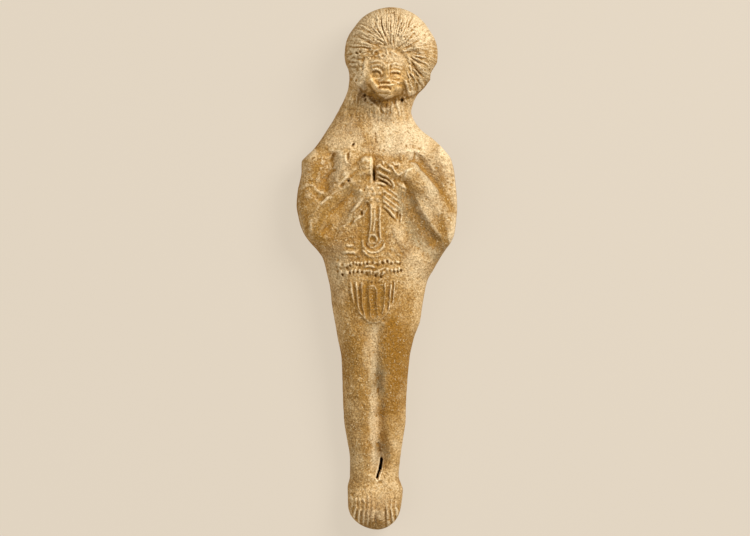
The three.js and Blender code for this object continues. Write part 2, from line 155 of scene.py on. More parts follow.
class Clay:
    def __init__(self, x, y, z):
        self.x, self.y, self.z = x, y, z

    def near(self, low, high, reach):
        # the points of the grid in a box and its margin, so that a small form works on few of them
        inX = (self.x > low[0] - reach) & (self.x < high[0] + reach)
        return inX & (self.y > low[1] - reach) & (self.y < high[1] + reach)

    def stroke(self, line, half, height, taper=0.12):
        # rounded ridge (or groove, if the height is negative) along a line, fading at its ends
        m = self.near(line.min(axis=0), line.max(axis=0), half)
        distance, share = fromLine(self.x[m], self.y[m], line)
        side = np.clip(1 - (distance / half) ** 2, 0, 1) ** 1.5
        ends = smoothStep(-0.02, taper, share) * smoothStep(1.02, 1 - taper, share) if taper else 1
        self.z[m] += height * side * ends

    def dome(self, centre, radii, height, turn=0, power=1.5):
        # smooth oval swelling or hollow: 1 less the squares of both shares of the radii, to a power
        m = self.near(centre, centre, max(radii))
        c, s = math.cos(math.radians(turn)), math.sin(math.radians(turn))
        dx, dy = self.x[m] - centre[0], self.y[m] - centre[1]
        a, b = (dx * c + dy * s) / radii[0], (dy * c - dx * s) / radii[1]
        self.z[m] += height * np.clip(1 - a * a - b * b, 0, 1) ** power

    def ring(self, centre, radius, half, height):
        # raised circle with the same section as a stroke
        m = self.near(centre, centre, radius + half)
        distance = np.hypot(self.x[m] - centre[0], self.y[m] - centre[1])
        self.z[m] += height * np.clip(1 - ((distance - radius) / half) ** 2, 0, 1) ** 1.5

    def work(self, table):
        # rows with places in percent and sizes in mm. A stroke: its places, half width, height and
        # perhaps taper. A dome: its place, both radii, height and perhaps turn in degrees. A ring:
        # its place, radius, half width and height.
        for place, *sizes in table:
            if isinstance(place[0], tuple):
                self.stroke(curve(place), *sizes)
            elif isinstance(sizes[0], tuple):
                self.dome(at(*place), *sizes)
            else:
                self.ring(at(*place), *sizes)

    def limb(self, line, radii, crests, blend):
        # round limb laid on the body, falling away steeply past its sides
        distance, share = fromLine(self.x, self.y, line)
        radius = radii[0] + (radii[1] - radii[0]) * share
        crest = crests[0] + (crests[1] - crests[0]) * share
        inside = crest - radius * (1 - np.sqrt(np.clip(1 - (distance / radius) ** 2, 0, 1)))
        steep = crest - radius - (distance - radius) * 4
        limb = np.where(distance < radius, inside, steep)
        self.z[:] = blendMax(self.z, limb, blend)


def blendMax(a, b, size):
    # the higher of two surfaces, with a rounded valley between them
    h = np.clip(0.5 + 0.5 * (a - b) / size, 0, 1)
    return b + (a - b) * h + size * h * (1 - h)


# Body: outline, heights and section

body = {
    "left": [  # percent up, percent of the width from the middle line
        (4.1, -18.1), (8, -18.4), (10.3, -16.9), (13.3, -16.9), (17.2, -18.7), (21, -20.6),
        (24.8, -21.2), (32.5, -22.1), (36.4, -24.3), (44, -28.6), (49.8, -31.7), (52.1, -33.9),
        (53.6, -37.3), (55.2, -42), (57.1, -46), (59.4, -48.5), (62.2, -50), (68.6, -48.5),
        (70.5, -47.5), (71.6, -44.1), (72.8, -39.8), (76.6, -31.1), (80.5, -23.7), (82.8, -20),
        (84.3, -18.1), (86.2, -17.2),
    ],
    "right": [
        (4.1, 15), (7.6, 16.3), (8.7, 15.3), (10.3, 13.8), (17.2, 16.3), (21, 18.1), (24.8, 18.4),
        (32.5, 20.3), (36.4, 22.8), (40.2, 27.1), (44, 28.9), (47.9, 31.7), (49.8, 35.1),
        (53.6, 42.6), (55.2, 46.3), (57.1, 48.5), (59.4, 49.4), (62.2, 50), (67, 48.8), (70.9, 46.3),
        (72.8, 42), (74.7, 35.8), (76.6, 27.7), (78.4, 23.4), (80.1, 21.5), (81.8, 22.8),
        (83.3, 25.2), (84.7, 29.6), (86.2, 33.3),
    ],
    "hairRadius": 14.8,  # mm
    "hairAcross": 8.8,
    "neckJoin": (0.5, 0.15),  # where the outline turns from neck to hair, in radii below its centre
    "toeTurn": 4.9,
    "toeMiddle": 0.5,
    "toeOutline": (2.2, 1.8),  # powers of the rounded end, seen from above and from the side
    "toeSection": (3, 2.2),
    "rim": [(0.1, 5.2), (24.8, 5.2), (44, 6.2), (72.8, 6.2), (80.5, 6.6), (83.9, 8.2), (90.1, 9.8),
            (100, 9.8)],
    "middle": [
        (0.1, 13.6), (3.4, 13.6), (8.5, 11.4), (14.3, 11.4), (27.7, 13.4), (36.4, 15.2),
        (46.9, 16.3), (55.5, 17.2), (65.1, 16.3), (72.8, 15.6), (78.2, 14.8), (100, 14.8),
    ],
    "power": [(0.1, 2.4), (24.8, 2.3), (44, 2.4), (55.5, 2.8), (70.9, 2.8), (78.6, 2.2), (100, 2.2)],
    "restShare": 0.62,
    "headLift": 1.8,
    "heelLift": 1.2,
    "leastClay": 1.6,
}
hairRadius = body["hairRadius"]
hairCentre = np.array([at(body["hairAcross"], 0)[0], bodyLength / 2 - hairRadius])


def onHead(across, up):
    # radii of the hair from its middle
    return hairCentre + np.array([across, up]) * hairRadius


def toeTurning(y):
    # 0 on the body, and rising evenly to 1 at the tips of the toes
    return np.clip((upTo(body["toeTurn"]) - y) / (upTo(body["toeTurn"]) - upTo(0)), 0, 1)


def edgesAt(y):
    # left and right edge: stations up the body, a circle for the hair, a rounded end for the toes
    hairHalf = np.sqrt(np.clip(hairRadius**2 - (y - hairCentre[1]) ** 2, 0, None))
    joinStart, joinEnd = (hairCentre[1] - radii * hairRadius for radii in body["neckJoin"])
    hairShare = smoothStep(joinStart, joinEnd, y)
    power, root = body["toeOutline"]
    toeShare = (1 - toeTurning(y) ** power) ** (1 / root)
    middle = at(body["toeMiddle"], 0)[0]
    edges = []
    for name, side in (("left", -1), ("right", 1)):
        edge = through(body[name], y) / 100 * bodyWidth
        edge = edge * (1 - hairShare) + (hairCentre[0] + side * hairHalf) * hairShare
        edges.append(middle + (edge - middle) * toeShare)
    return edges


def endRounding(y):
    # 1 along the body, and falling to 0 at the crown, as on a ball, and at the toes
    crown = np.clip((y - hairCentre[1]) / hairRadius, 0, 1)
    power, root = body["toeSection"]
    return np.sqrt(1 - crown**2) * (1 - toeTurning(y) ** power) ** (1 / root)


def archedBody(y, side):
    # an arch from rim to rim: 1 less the share of the half width to a power, and its root
    rim, middle, power = (through(body[name], y) for name in ("rim", "middle", "power"))
    return rim + (middle - rim) * endRounding(y) * (1 - np.abs(side) ** power) ** (1 / power)


def smoothedBack(y, side):
    # flat along the middle, rounding up to the rim, and lifted a little at head and heels
    rim = through(body["rim"], y)
    lift = body["headLift"] * smoothStep(upTo(80), upTo(100), y)
    lift = lift + body["heelLift"] * smoothStep(upTo(12), upTo(0), y)
    low = rim + (lift - rim) * endRounding(y)
    turn = np.clip((np.abs(side) - body["restShare"]) / (1 - body["restShare"]), 0, 1)
    return low + (rim - low) * (1 - np.sqrt(1 - turn**2))


# Arms and hands

arm = {
    "limbs": [  # line, radii and crest heights in mm
        (((-38.5, 70.3), (-41.6, 65.1), (-41.6, 58.2)), (4.6, 4.6), (14.4, 13)),
        (((39.5, 70.9), (43.2, 65.5), (43.2, 58.2)), (4.2, 4), (14.4, 13.2)),
        (((-36.7, 57.5), (-29.9, 62.1), (-16.9, 67)), (3.8, 3.2), (14.6, 17.5)),
        (((46, 57.5), (32.7, 63.8), (20.3, 68.4)), (4.4, 3.2), (14.6, 18)),
        (((-16.3, 67.4), (-9.4, 68.6), (-5.7, 69.7)), (3.2, 3.2), (17.4, 18.4)),
        (((20.3, 68.4), (12.8, 68.8), (4.2, 69.3)), (3.4, 3.6), (18, 17.8)),
    ],
    "hollows": [  # line, half width and depth in mm
        (((-27.4, 72.8), (-28.6, 69.3), (-33.6, 64.4)), 3.0, 1.8),
        (((21.5, 72), (29.6, 68.6), (37, 63.6)), 2.8, 1.2),
        (((-12.5, 65.1), (-21.8, 60.9), (-30.5, 55.9)), 3.2, 1.5),
        (((13.5, 64.7), (16.6, 61.7), (21.5, 58.4), (28.9, 55.2), (37, 53)), 5.6, 1.1),
        (((16.6, 65.7), (20.3, 62.4), (25.9, 59.2), (33.3, 55.9), (41.3, 53.6)), 2.9, 1.5),
    ],
    "blend": 1.0,  # mm of the rounded valley between a limb and the body
    "breasts": ((-17.5, 70.9), (17.2, 71.5)),
    "breastRadius": 5.2,
    "breastHeight": 1,
    "cleft": ((-1.9, 72), (-1.6, 65.9)),  # between the two hands
    "cleftCut": (1.1, -0.8, 0.2),  # half width and height in mm, taper
    "fingers": (
        ((-0.4, 69.4), (1.7, 69.7), (4.2, 69.2), (8.5, 68.6)),
        ((-0.2, 68.6), (3.9, 68), (6.7, 67.5), (9.8, 66.6), (10.6, 65.5)),
        ((-0.2, 67.9), (3.2, 67.2), (7.3, 66.6), (9.4, 65.9)),
        ((0.5, 66.5), (2.9, 66.3), (5.7, 66)),
    ),
    "fingerRidge": (0.55, 0.8, 0.1),
    "fingerGap": (0.42, -0.5, 0.15),
    "toGap": (0.05, -0.72),  # mm from the back of a finger to the gap below it
    "sleeveFold": ((11.6, 67), (14.7, 65.6)),
    "foldRidge": (0.5, 0.55),
    "nextFold": (0.95, -0.4),  # mm
    "marks": (
        # right hand: gap between two fingers, and a notched row of knuckles above
        (((1.7, 66.9), (4.2, 66.7), (7.3, 66.1)), 0.5, -0.8),
        ((5.1, 67.7), (0.4, 0.5), -0.6),
        (((4.4, 70.7), (3.8, 69.9)), 0.42, 0.65, 0.2),
        (((7.5, 70.3), (8.3, 69.5)), 0.42, 0.65, 0.2),
        (((2, 70.2), (2.6, 69.7)), 0.42, 0.65, 0.2),
        ((5.6, 70), (0.5, 0.55), -0.7),
        ((3.1, 70.3), (0.5, 0.55), -0.7),
        ((6.7, 69.4), (0.5, 0.55), -0.7),
        # cuff: a zigzag band over the wrist, and the loose folds under the hand
        (((8.9, 70), (10.7, 69), (13.1, 68), (15.9, 68.4), (19.8, 69.3)), 0.48, 0.75),
        (((9.8, 70.7), (11.6, 70), (13.8, 70.2), (15, 69.5)), 0.4, 0.5),
        ((12.2, 69.4), (0.9, 0.9), -0.8),
        (((17.2, 67.4), (19, 68.8), (22.8, 69.3)), 0.5, 0.6),
        (((9.8, 67), (10.4, 66.3), (10.1, 65.3)), 0.5, 0.6),
        (((17.8, 67), (19, 65.1), (21.5, 63.8)), 0.9, -0.6),
        # left hand: worn block with a sharp outer edge
        ((-7.3, 70.7), (2.6, 5.6), 0.7),
        (((-3.4, 73.2), (-3.1, 66.9)), 0.75, 0.55),
        (((-12.5, 70.3), (-8.8, 70.8), (-4.5, 70.7)), 0.8, 0.35),
        (((-15.6, 68.1), (-10.7, 69), (-5.7, 69.1)), 0.7, -0.45),
        ((-11, 66.6), (3.0, 1.7), 0.6, 8),
        (((-15, 68.2), (-18.7, 67), (-22.4, 65.7)), 0.7, -0.8),
        (((-11.3, 69.7), (-18.1, 68.8), (-26.2, 66.9)), 1.2, 0.35),
        ((-9.8, 65.1), (1.2, 1.0), 0.6),
        # breasts: worn ring and fold on the left, a square edge and ring on the right
        (((-18.7, 72.3), (-19.5, 71.3), (-18.4, 70.4), (-15.9, 69.7)), 0.5, 0.4),
        (((-17.5, 72.2), (-17.9, 71.6), (-17.6, 70.9)), 0.4, -1.1),
        ((17.7, 71.4), 1.3, 0.5, 0.4),
        ((17.7, 71.3), (0.7, 0.8), 0.3),
        (((15, 72.3), (18.4, 72.5), (22.1, 72.5)), 0.4, 0.45),
        (((23.1, 72.6), (22.6, 70.3)), 0.4, -0.6),
        (((12.2, 72.1), (17.2, 72.8), (22.8, 72.8), (27.1, 72.6)), 0.7, 0.4),
        (((23.4, 72.3), (27.1, 72.1), (29.6, 71.5)), 0.45, 0.5),
        (((24, 72.5), (29.6, 72.4), (34.5, 71.9)), 0.4, 0.35),
        # hard creases inside the upper arms
        (((-25.9, 72.2), (-27.7, 71.3), (-29.3, 70.5)), 0.55, -1.2),
        (((-24.9, 69), (-28.9, 68.4), (-31.7, 67.4), (-34.2, 66.9)), 0.6, -0.8),
        (((-28, 70.5), (-27.4, 69.5), (-29.3, 68.6)), 0.6, -0.5),
        (((-21.2, 66.5), (-22.8, 65.8)), 0.4, -0.9),
        (((24.6, 71.6), (30.8, 69.5), (35.8, 67), (40.1, 64)), 1.6, -0.3),
        # armlet and worn patch on the left arm, edges of the forearms
        (((-47.8, 65.1), (-44.7, 65.9), (-39.8, 66), (-36.7, 65.5)), 0.8, 0.25),
        (((-39.8, 65.7), (-36.7, 65), (-32.4, 64.9)), 0.7, 0.3),
        (((-38.5, 64.6), (-35.4, 63.6), (-32.4, 64)), 1.5, -0.7),
        ((-42.3, 64.2), (2.6, 2.2), 0.4),
        (((-36.7, 63.4), (-37.9, 62.2), (-42, 60.7)), 0.5, 0.35),
        (((-26.2, 64.1), (-32.4, 63.2), (-37.3, 61.5), (-40.7, 59.4), (-41.3, 56.9)), 0.55, 0.42),
        (((-16.9, 65.9), (-23.7, 65.1), (-29.9, 64), (-34.2, 62.8)), 0.5, 0.35),
        ((-24.3, 63.8), (3, 2.6), 0.5),
        (((-18.1, 63.2), (-23.4, 62.1), (-29.9, 60.3)), 0.9, -0.6),
        (((-28, 58.6), (-31.7, 57.6), (-34.2, 56.3)), 0.9, -0.5),
    ),
}


def shapeArms(clay):
    # breasts and hollows first, so that the limbs lie over them, and the cleft between the hands last
    for centre in arm["breasts"]:
        clay.dome(at(*centre), (arm["breastRadius"],) * 2, arm["breastHeight"])
    for line, half, depth in arm["hollows"]:
        clay.stroke(curve(line), half, -depth, 0.15)
    for line, radii, crests in arm["limbs"]:
        clay.limb(atAll(line), radii, crests, arm["blend"])
    clay.stroke(atAll(arm["cleft"]), *arm["cleftCut"])


def carveArms(clay):
    # right hand: four fingers with ridged backs and sharp gaps, and the folds beside its cuff
    for line in arm["fingers"]:
        ridge = curve(line)
        clay.stroke(ridge, *arm["fingerRidge"])
        clay.stroke(ridge + arm["toGap"], *arm["fingerGap"])
    for k in range(3):
        clay.stroke(atAll(arm["sleeveFold"]) + k * np.array(arm["nextFold"]), *arm["foldRidge"])
    clay.work(arm["marks"])


# Pendant, straps and rings of the belly

dress = {
    "straps": (((-3.5, 62.6), (-3.5, 59.4), (-4.9, 56.3)), ((2.1, 62), (2, 58.6), (2.1, 55.7))),
    "strapRidge": (0.42, 0.46, 0.05),  # half width and height in mm, taper
    "knots": (
        (-3.6, 66.8), (-0.5, 66.5), (-6, 65.8), (-2.6, 65.5), (1.1, 65.6), (-4.8, 64.6),
        (-1.4, 64.4), (2, 64.6), (4.5, 64.9), (-3.3, 63.4), (0.5, 63.3),
    ),
    "knotRadius": 0.95,
    "knotHeight": 0.55,
    "fringe": ((-7.6, 63.8), (-11.3, 61.9)),
    "fringeRidge": (0.45, 0.4),
    "nextFringe": (-0.8, -0.6),  # mm
    "hipBars": (((-20.3, 54.5), (-14.1, 54.4)), ((-21.5, 53.2), (-13.2, 53.1))),
    "barRidge": (0.8, 0.55, 0.15),
    "underBar": (0.2, -0.8),  # mm
    "underBarCut": (0.5, -0.5, 0.15),
    "swellings": (
        ((-2, 65.1), (3.4, 2.8), 0.5),
        (((3.6, 64), (9.1, 62.4), (14.1, 60.5)), 2.8, 0.5),
        (((-6.3, 63.2), (-10.1, 61.3), (-16.3, 59)), 2.4, 0.35),
        (((-11, 55.7), (-5.1, 53.3), (6.3, 54.6)), 2.0, 0.3),
    ),
    "marks": (
        # right band: fanned ridges with a deep lower edge and a fringe
        (((4.8, 64.8), (9.8, 63.9), (15, 62.6)), 0.55, 0.6, 0.08),
        (((7.3, 65.3), (11.6, 64.4), (15, 63.4)), 0.55, 0.6, 0.08),
        (((3.3, 64), (8.5, 62.9), (13.5, 61.8)), 0.55, 0.6, 0.08),
        (((3.6, 63.1), (7.9, 62.1), (12.8, 61)), 0.55, 0.6, 0.08),
        (((3.9, 62.2), (7.9, 61.1), (11.3, 59.9)), 0.55, 0.6, 0.08),
        (((4.5, 61.7), (9.1, 60.1), (12.4, 58.9)), 0.45, -0.6, 0.08),
        (((12.8, 61.9), (15, 61.1), (14.7, 59)), 0.5, 0.5),
        (((12.7, 61.1), (12.5, 59.6)), 0.4, -0.9),
        (((14.3, 60.5), (13.7, 58.9)), 0.4, -0.9),
        # left band: worn fan round a dark hollow
        ((-9.1, 61.9), (1.9, 3.4), -0.9, -25),
        ((-5.7, 62.3), (0.7, 1.1), -1.0),
        ((-9.4, 60.6), (0.7, 0.9), -1.0),
        (((-5.4, 61.7), (-10.1, 60.2), (-16.3, 58.7)), 0.6, 0.6),
        (((-14.1, 59.5), (-16.9, 58.5)), 0.45, -0.8),
        # stem between its edges, and the ring and crescent that it ends in
        (((-1.4, 61.7), (-1.6, 59), (-2.4, 56.5)), 0.42, 0.4),
        (((0.2, 62.4), (0.3, 59), (0.4, 56.1)), 0.7, -0.45, 0.05),
        (((-6.1, 62.1), (-6, 59), (-7.3, 55.5)), 1.1, -0.6),
        ((-2.5, 55.7), 1.3, 0.5, 0.7),
        (((-5.7, 55.2), (-4.2, 54.4), (-1.4, 54.3), (1.7, 55.2), (3.6, 55.7)), 0.6, 0.4),
        ((-2.7, 55.6), (0.8, 0.8), -0.35),
        (((-9.4, 55.7), (-8.5, 54.4), (-4.8, 53.3), (-1.4, 53.1), (2.3, 53.7), (5.4, 55)), 0.5, 0.6,
         0.06),
        (((-7.6, 55.5), (-6, 54.2), (-2.3, 53.7), (2, 54.4), (4.2, 55.3)), 0.5, -0.5),
        (((-9.4, 53.8), (-5.7, 52.7), (-1.4, 52.2), (2.9, 52.8)), 0.6, 0.55),
        (((-10.7, 58.4), (-10.9, 55.5), (-10.1, 52.5)), 0.9, -0.35),
        # soft creases on the hip without bars
        (((10.7, 58.2), (12.2, 56.3), (14.4, 55), (18.4, 54.1)), 1.1, 0.35),
        (((8.5, 54.1), (11.6, 53.5), (14.1, 52.5)), 0.8, 0.35),
        (((6.7, 53.6), (9.1, 52.5), (12.2, 51.8)), 0.7, 0.3),
    ),
}


def shapeDress(clay):
    # bead knot, bands and crescent as soft swellings
    clay.work(dress["swellings"])


def carveDress(clay):
    # bead knot of the pendant, fringe of the left band, edges of its stem, and bars on the hip
    for place in dress["knots"]:
        clay.dome(at(*place), (dress["knotRadius"],) * 2, dress["knotHeight"])
    for k in range(4):
        clay.stroke(atAll(dress["fringe"]) + k * np.array(dress["nextFringe"]), *dress["fringeRidge"])
    for line in dress["straps"]:
        clay.stroke(curve(line), *dress["strapRidge"])
    for bar in dress["hipBars"]:
        clay.stroke(atAll(bar), *dress["barRidge"])
        clay.stroke(atAll(bar) + dress["underBar"], *dress["underBarCut"])
    clay.work(dress["marks"])


# Girdle: two rows of beads with a punched dot under most of them

girdle = {
    "upper": (
        ((-25.2, 50.4), 0.6), ((-21.2, 50.8), 0.3), ((-18.5, 50.2), 0.5), ((-16.9, 50.6), 0.9),
        ((-14.6, 51), 0.5), ((-12.9, 50.8), 0.9), ((-10.6, 50.8), 0.9), ((-8.2, 51), 0.3), ((-6, 51), 1),
        ((-2.8, 51.2), 0.8), ((0.3, 50.8), 0.9), ((3.7, 51.1), 0.8), ((6.2, 51.5), 0.9), ((8.6, 51), 1),
        ((11.2, 51.2), 0.7), ((12.6, 50.9), 0.7), ((14.1, 50.9), 1),
    ),
    "lower": (
        ((-24.1, 49.5), 0.5), ((-21.1, 48.9), 0.9), ((-16.7, 49.2), 0.9), ((-14.5, 49.4), 0.7),
        ((-11.8, 49.4), 0.7), ((-9.3, 49.3), 1), ((-6.1, 49.1), 0.5), ((-0.8, 48.7), 0.7),
        ((2.7, 48.5), 0.9), ((5.1, 49.7), 0.3), ((7.9, 49.6), 0.4), ((10.4, 49.5), 0.8),
        ((12.7, 49.5), 0.8), ((14.7, 49.7), 1.1),
    ),
    "dotRadii": (0.46, 0.46 * 1.1),
    "dotDepth": 1.4,
    "beadRadii": (0.6, 0.9),
    "beadAbove": (0, 0.5),  # mm
    "beadHeight": 0.45,
    "swellings": (
        (((-25.5, 50.7), (14.7, 51.4)), 1.5, 0.35, 0.05),
        (((-24.3, 49.2), (15.3, 49.9)), 1.5, 0.35, 0.05),
    ),
    "marks": (
        # worn middle of the girdle: three short bars under the upper row
        (((-7.9, 50.3), (-4.5, 50.6), (-0.8, 50.4)), 0.6, 0.7),
        (((0.5, 49.8), (2.9, 50), (5.7, 50.5)), 0.6, 0.7),
        (((-7.3, 49.7), (-4.5, 49.9), (-2.9, 49.4)), 0.55, 0.6),
        (((-2, 49.4), (0.5, 49.6), (2.3, 49.1)), 0.6, 0.6),
        (((-7, 50), (-0.2, 50)), 0.45, -0.6),
        (((2.3, 48.6), (4.8, 49.4), (6.7, 50.4)), 0.55, 0.5),
    ),
}


def shapeGirdle(clay):
    # a low swelling under each row of beads
    clay.work(girdle["swellings"])


def carveGirdle(clay):
    # a bead over each gap between two dots of a row, and the dots punched to their own depths
    for row in ("upper", "lower"):
        places = atAll([place for place, depth in girdle[row]])
        for between in (places[:-1] + places[1:]) / 2:
            clay.dome(between + girdle["beadAbove"], girdle["beadRadii"], girdle["beadHeight"])
        for place, depth in girdle[row]:
            clay.dome(at(*place), girdle["dotRadii"], -girdle["dotDepth"] * depth, power=1)
    clay.work(girdle["marks"])


# Apron: a rimmed tongue of wide flutes between thin ridges

apron = {
    "border": (
        (-18.4, 47.7), (-18, 45.9), (-15.8, 43.8), (-12.2, 42), (-7.6, 40.5), (-2, 39.5), (2.9, 40.4),
        (7, 41.8), (10.2, 43.6), (12.2, 45.9), (12.8, 48.1),
    ),
    "ridges": (  # line, height in mm
        (((-16.1, 47.7), (-15.5, 45.2), (-13.8, 43.1)), 0.55),
        (((-12.7, 47.7), (-12.3, 44.6), (-10.4, 42.1)), 0.7),
        (((-9.4, 47.9), (-9.1, 44), (-7.5, 40.4)), 0.95),
        (((-5, 46.1), (-4.6, 43.6), (-4.1, 40.8)), 0.85),
        (((0.1, 45.9), (-0.2, 43.6), (0.7, 40.6)), 0.85),
        (((5.4, 47.5), (5, 44.2), (3.2, 41.1)), 0.95),
        (((9, 47.7), (8.3, 44.6), (6.8, 42.3)), 0.7),
        (((11.1, 47.7), (10.7, 45.6), (9.5, 43.6)), 0.5),
    ),
    "flutes": (  # line, half width, depth in mm
        (((-17.1, 46.7), (-16.9, 45.2), (-15.6, 44)), 0.45, 1.0),
        (((-14.3, 47.3), (-13.8, 44.6), (-12.4, 42.7)), 0.6, 1.0),
        (((-10.8, 47.3), (-10.5, 44), (-8.8, 41.3)), 0.65, 1.0),
        (((-7.2, 47.5), (-6.8, 44), (-5.9, 40.6)), 1.05, 0.75),
        (((-2.4, 46.1), (-2.3, 43.6), (-1.8, 40.6)), 1.2, 0.75),
        (((2.7, 46.9), (2.4, 44), (2, 41)), 1.2, 0.75),
        (((7.3, 47.3), (6.7, 44.4), (5.2, 42.1)), 0.85, 0.9),
        (((10, 47.7), (9.6, 45.6), (8.3, 43.4)), 0.5, 1.1),
        (((12.2, 47.3), (11.7, 45.8)), 0.4, 0.7),
    ),
    "borderRidge": (0.42, 0.16, 0),  # half width and height in mm, taper
    "fluteWear": 0.6,  # share of the cut that is left
    "ridgeHalf": 0.36,
    "ridgeWear": 0.5,
    "top": (-2.1, 48.2),
    "half": 8.3,
    "reach": 14.6,
    "point": 0.65,
    "height": 0.55,
    "rim": 0.9,
    "marks": (
        # arch over the middle flutes, line at their foot, top edge and four dots
        (((-5.1, 45.9), (-4.2, 46.7), (-1.7, 46.8), (0.2, 45.9)), 0.36, 0.36),
        (((-4.2, 41), (-1.8, 40.4), (0.7, 40.8)), 0.36, 0.36),
        (((-17.8, 48.2), (-10.1, 48.3), (-2.6, 47.9), (12.2, 48.5)), 0.5, 0.12),
        ((-5.7, 47.4), (0.45, 0.5), -0.7),
        ((-3.5, 47.4), (0.45, 0.5), -0.7),
        ((-1.1, 47.4), (0.45, 0.5), -0.7),
        ((1.1, 47.4), (0.45, 0.5), -0.7),
    ),
}


def shapeApron(clay):
    # tongue with a rounded lower end and a soft rim
    top = at(*apron["top"])
    below = (top[1] - clay.y) / apron["reach"]
    half = apron["half"] * (1 - np.clip(below, 0, 1) ** 2) ** apron["point"]
    side = np.abs(clay.x - top[0]) / np.maximum(half, apron["rim"])
    inward = np.minimum((1 - side) * half, (1 - below) * apron["reach"])
    inside = (below > -0.1) & (below < 1) & (side < 1)
    edge = smoothStep(0, apron["rim"], inward) * smoothStep(-0.1, 0.2, below)
    clay.z += np.where(inside, apron["height"] * edge, 0)


def carveApron(clay):
    # rim of the tongue, flutes and the thin ridges between them
    clay.stroke(curve(apron["border"]), *apron["borderRidge"])
    for line, half, depth in apron["flutes"]:
        clay.stroke(curve(line), half, -depth * apron["fluteWear"], 0.08)
    for line, height in apron["ridges"]:
        clay.stroke(curve(line), apron["ridgeHalf"], height * apron["ridgeWear"], 0.06)
    clay.work(apron["marks"])


# Legs and feet

leg = {
    "groove": (
        (-1.7, 39.8), (-1.7, 35.4), (-0.5, 29.8), (0.8, 25.8), (0.8, 21), (1.4, 17.2), (2.5, 13.3),
        (0.5, 9.9),
    ),
    "deepens": ((0, 0.12), (0.15, 0.3), (0.45, 0.5), (0.6, 0.75), (0.8, 1), (0.92, 0.9), (1, 0.15)),
    "grooveDepth": 3.4,
    "grooveHalf": 2.2,
    "swellings": (  # place, radii and height in mm
        ((-12.5, 27.7), (4.5, 6), 0.55),
        ((9.8, 28.1), (4.2, 6), 0.55),
        ((-14.4, 35.4), (5.5, 11), 0.6),
        ((11, 35.8), (5.5, 11), 0.6),
    ),
    "slit": ((2.8, 13.7), (2.4, 12.6), (1.7, 11.4), (0.7, 10.5), (0.1, 9.8)),
    "slitHalf": 0.48,
    "slitDepth": 6.5,
    "marks": (
        ((0.5, 28.5), (1.8, 4.2), -0.8),
        ((0.6, 26.6), (0.7, 2.0), -0.7),
        (((-2.9, 25.2), (-2.4, 21), (-2.6, 17.6), (-1.4, 13.7), (-0.2, 10.6)), 1.1, 0.45),
        (((0.7, 16.8), (1.3, 15.3), (2.3, 13.7)), 0.9, -0.8),
        ((0.2, 10), (0.6, 0.6), -1.5),
        (((0.2, 9.7), (1.7, 9.2), (3.3, 9.1)), 0.5, -0.5),
        # ankle bones, lip of the anklet
        ((-8.8, 6.2), (2.6, 3), 0.35),
        ((15.6, 8), (1.0, 1.1), 0.7),
        (((-17.2, 7.6), (-16.3, 6.4), (-15, 5.7)), 0.6, 0.4),
        (((-7, 8.2), (-5.7, 7), (-5.4, 5.9)), 0.5, 0.35),
    ),
}


def shapeLegs(clay):
    # groove between the legs, e to the power of less the square of the share of its half width
    distance, share = fromLine(clay.x, clay.y, curve(leg["groove"]))
    deep = np.interp(share, *zip(*leg["deepens"]))
    clay.z -= leg["grooveDepth"] * deep * np.exp(-((distance / leg["grooveHalf"]) ** 2))
    clay.work(leg["swellings"])


def carveLegs(clay):
    # blind slit between the ankles, wider in its upper part
    slit = atAll(leg["slit"])
    clay.stroke(slit, leg["slitHalf"], -leg["slitDepth"], 0.06)
    clay.stroke(slit[:3], leg["slitHalf"] * 1.3, -leg["slitDepth"], 0.1)
    clay.work(leg["marks"])


feet = {
    "gaps": (  # top and bottom of the gap between two toes, share of the common depth
        ((-14.4, 4.5), (-15.3, 3.2), 0.9), ((-12.2, 4.1), (-12.8, 2.1), 1),
        ((-9.4, 3.9), (-9.9, 1.6), 0.7), ((-6.7, 4.1), (-7, 1.2), 0.8), ((-4.2, 4.3), (-4.4, 0.8), 0.7),
        ((-1.1, 3.7), (-0.6, 0.5), 1.1), ((5.1, 4.5), (5.4, 0.8), 0.8), ((7.9, 4.1), (8.8, 1.2), 0.8),
        ((10.7, 4.1), (11.6, 2.2), 0.9), ((13.2, 4.9), (14.3, 3.4), 0.9),
    ),
    "gapHalf": 0.62,
    "gapDepth": 0.7,
    "gapRunsOn": (0.9, 0.35),  # share of its length and depth over the foot
    "tipRadii": (0.55, 1.1),
    "tipDepth": 0.9,
    "toeStart": (0, 5),  # mm above the gaps
    "toeHeight": 0.4,
}


def carveFeet(clay):
    # a gap between two toes runs on faintly over the foot, and each toe is rounded between its gaps
    half, cut = feet["gapHalf"], feet["gapDepth"]
    for start, end, depth in feet["gaps"]:
        start, end = at(*start), at(*end)
        clay.stroke(np.array([start, end]), half, -cut * depth, 0.35)
        clay.dome(end, feet["tipRadii"], -feet["tipDepth"] * depth)
        further, fainter = feet["gapRunsOn"]
        above = start + (start - end) * further
        clay.stroke(np.array([above, start]), half, -cut * depth * fainter, 0.3)
    tops, tips = (atAll([gap[k] for gap in feet["gaps"]]) for k in (0, 1))
    widths = np.diff(tips[:, 0])
    for top, tip, width in zip((tops[:-1] + tops[1:]) / 2, (tips[:-1] + tips[1:]) / 2, widths):
        toe = np.array([top + feet["toeStart"], top, tip])
        clay.stroke(toe, 0.3 * width + 0.3, feet["toeHeight"], 0.3)


# Head: hairdress and an idol's worn face

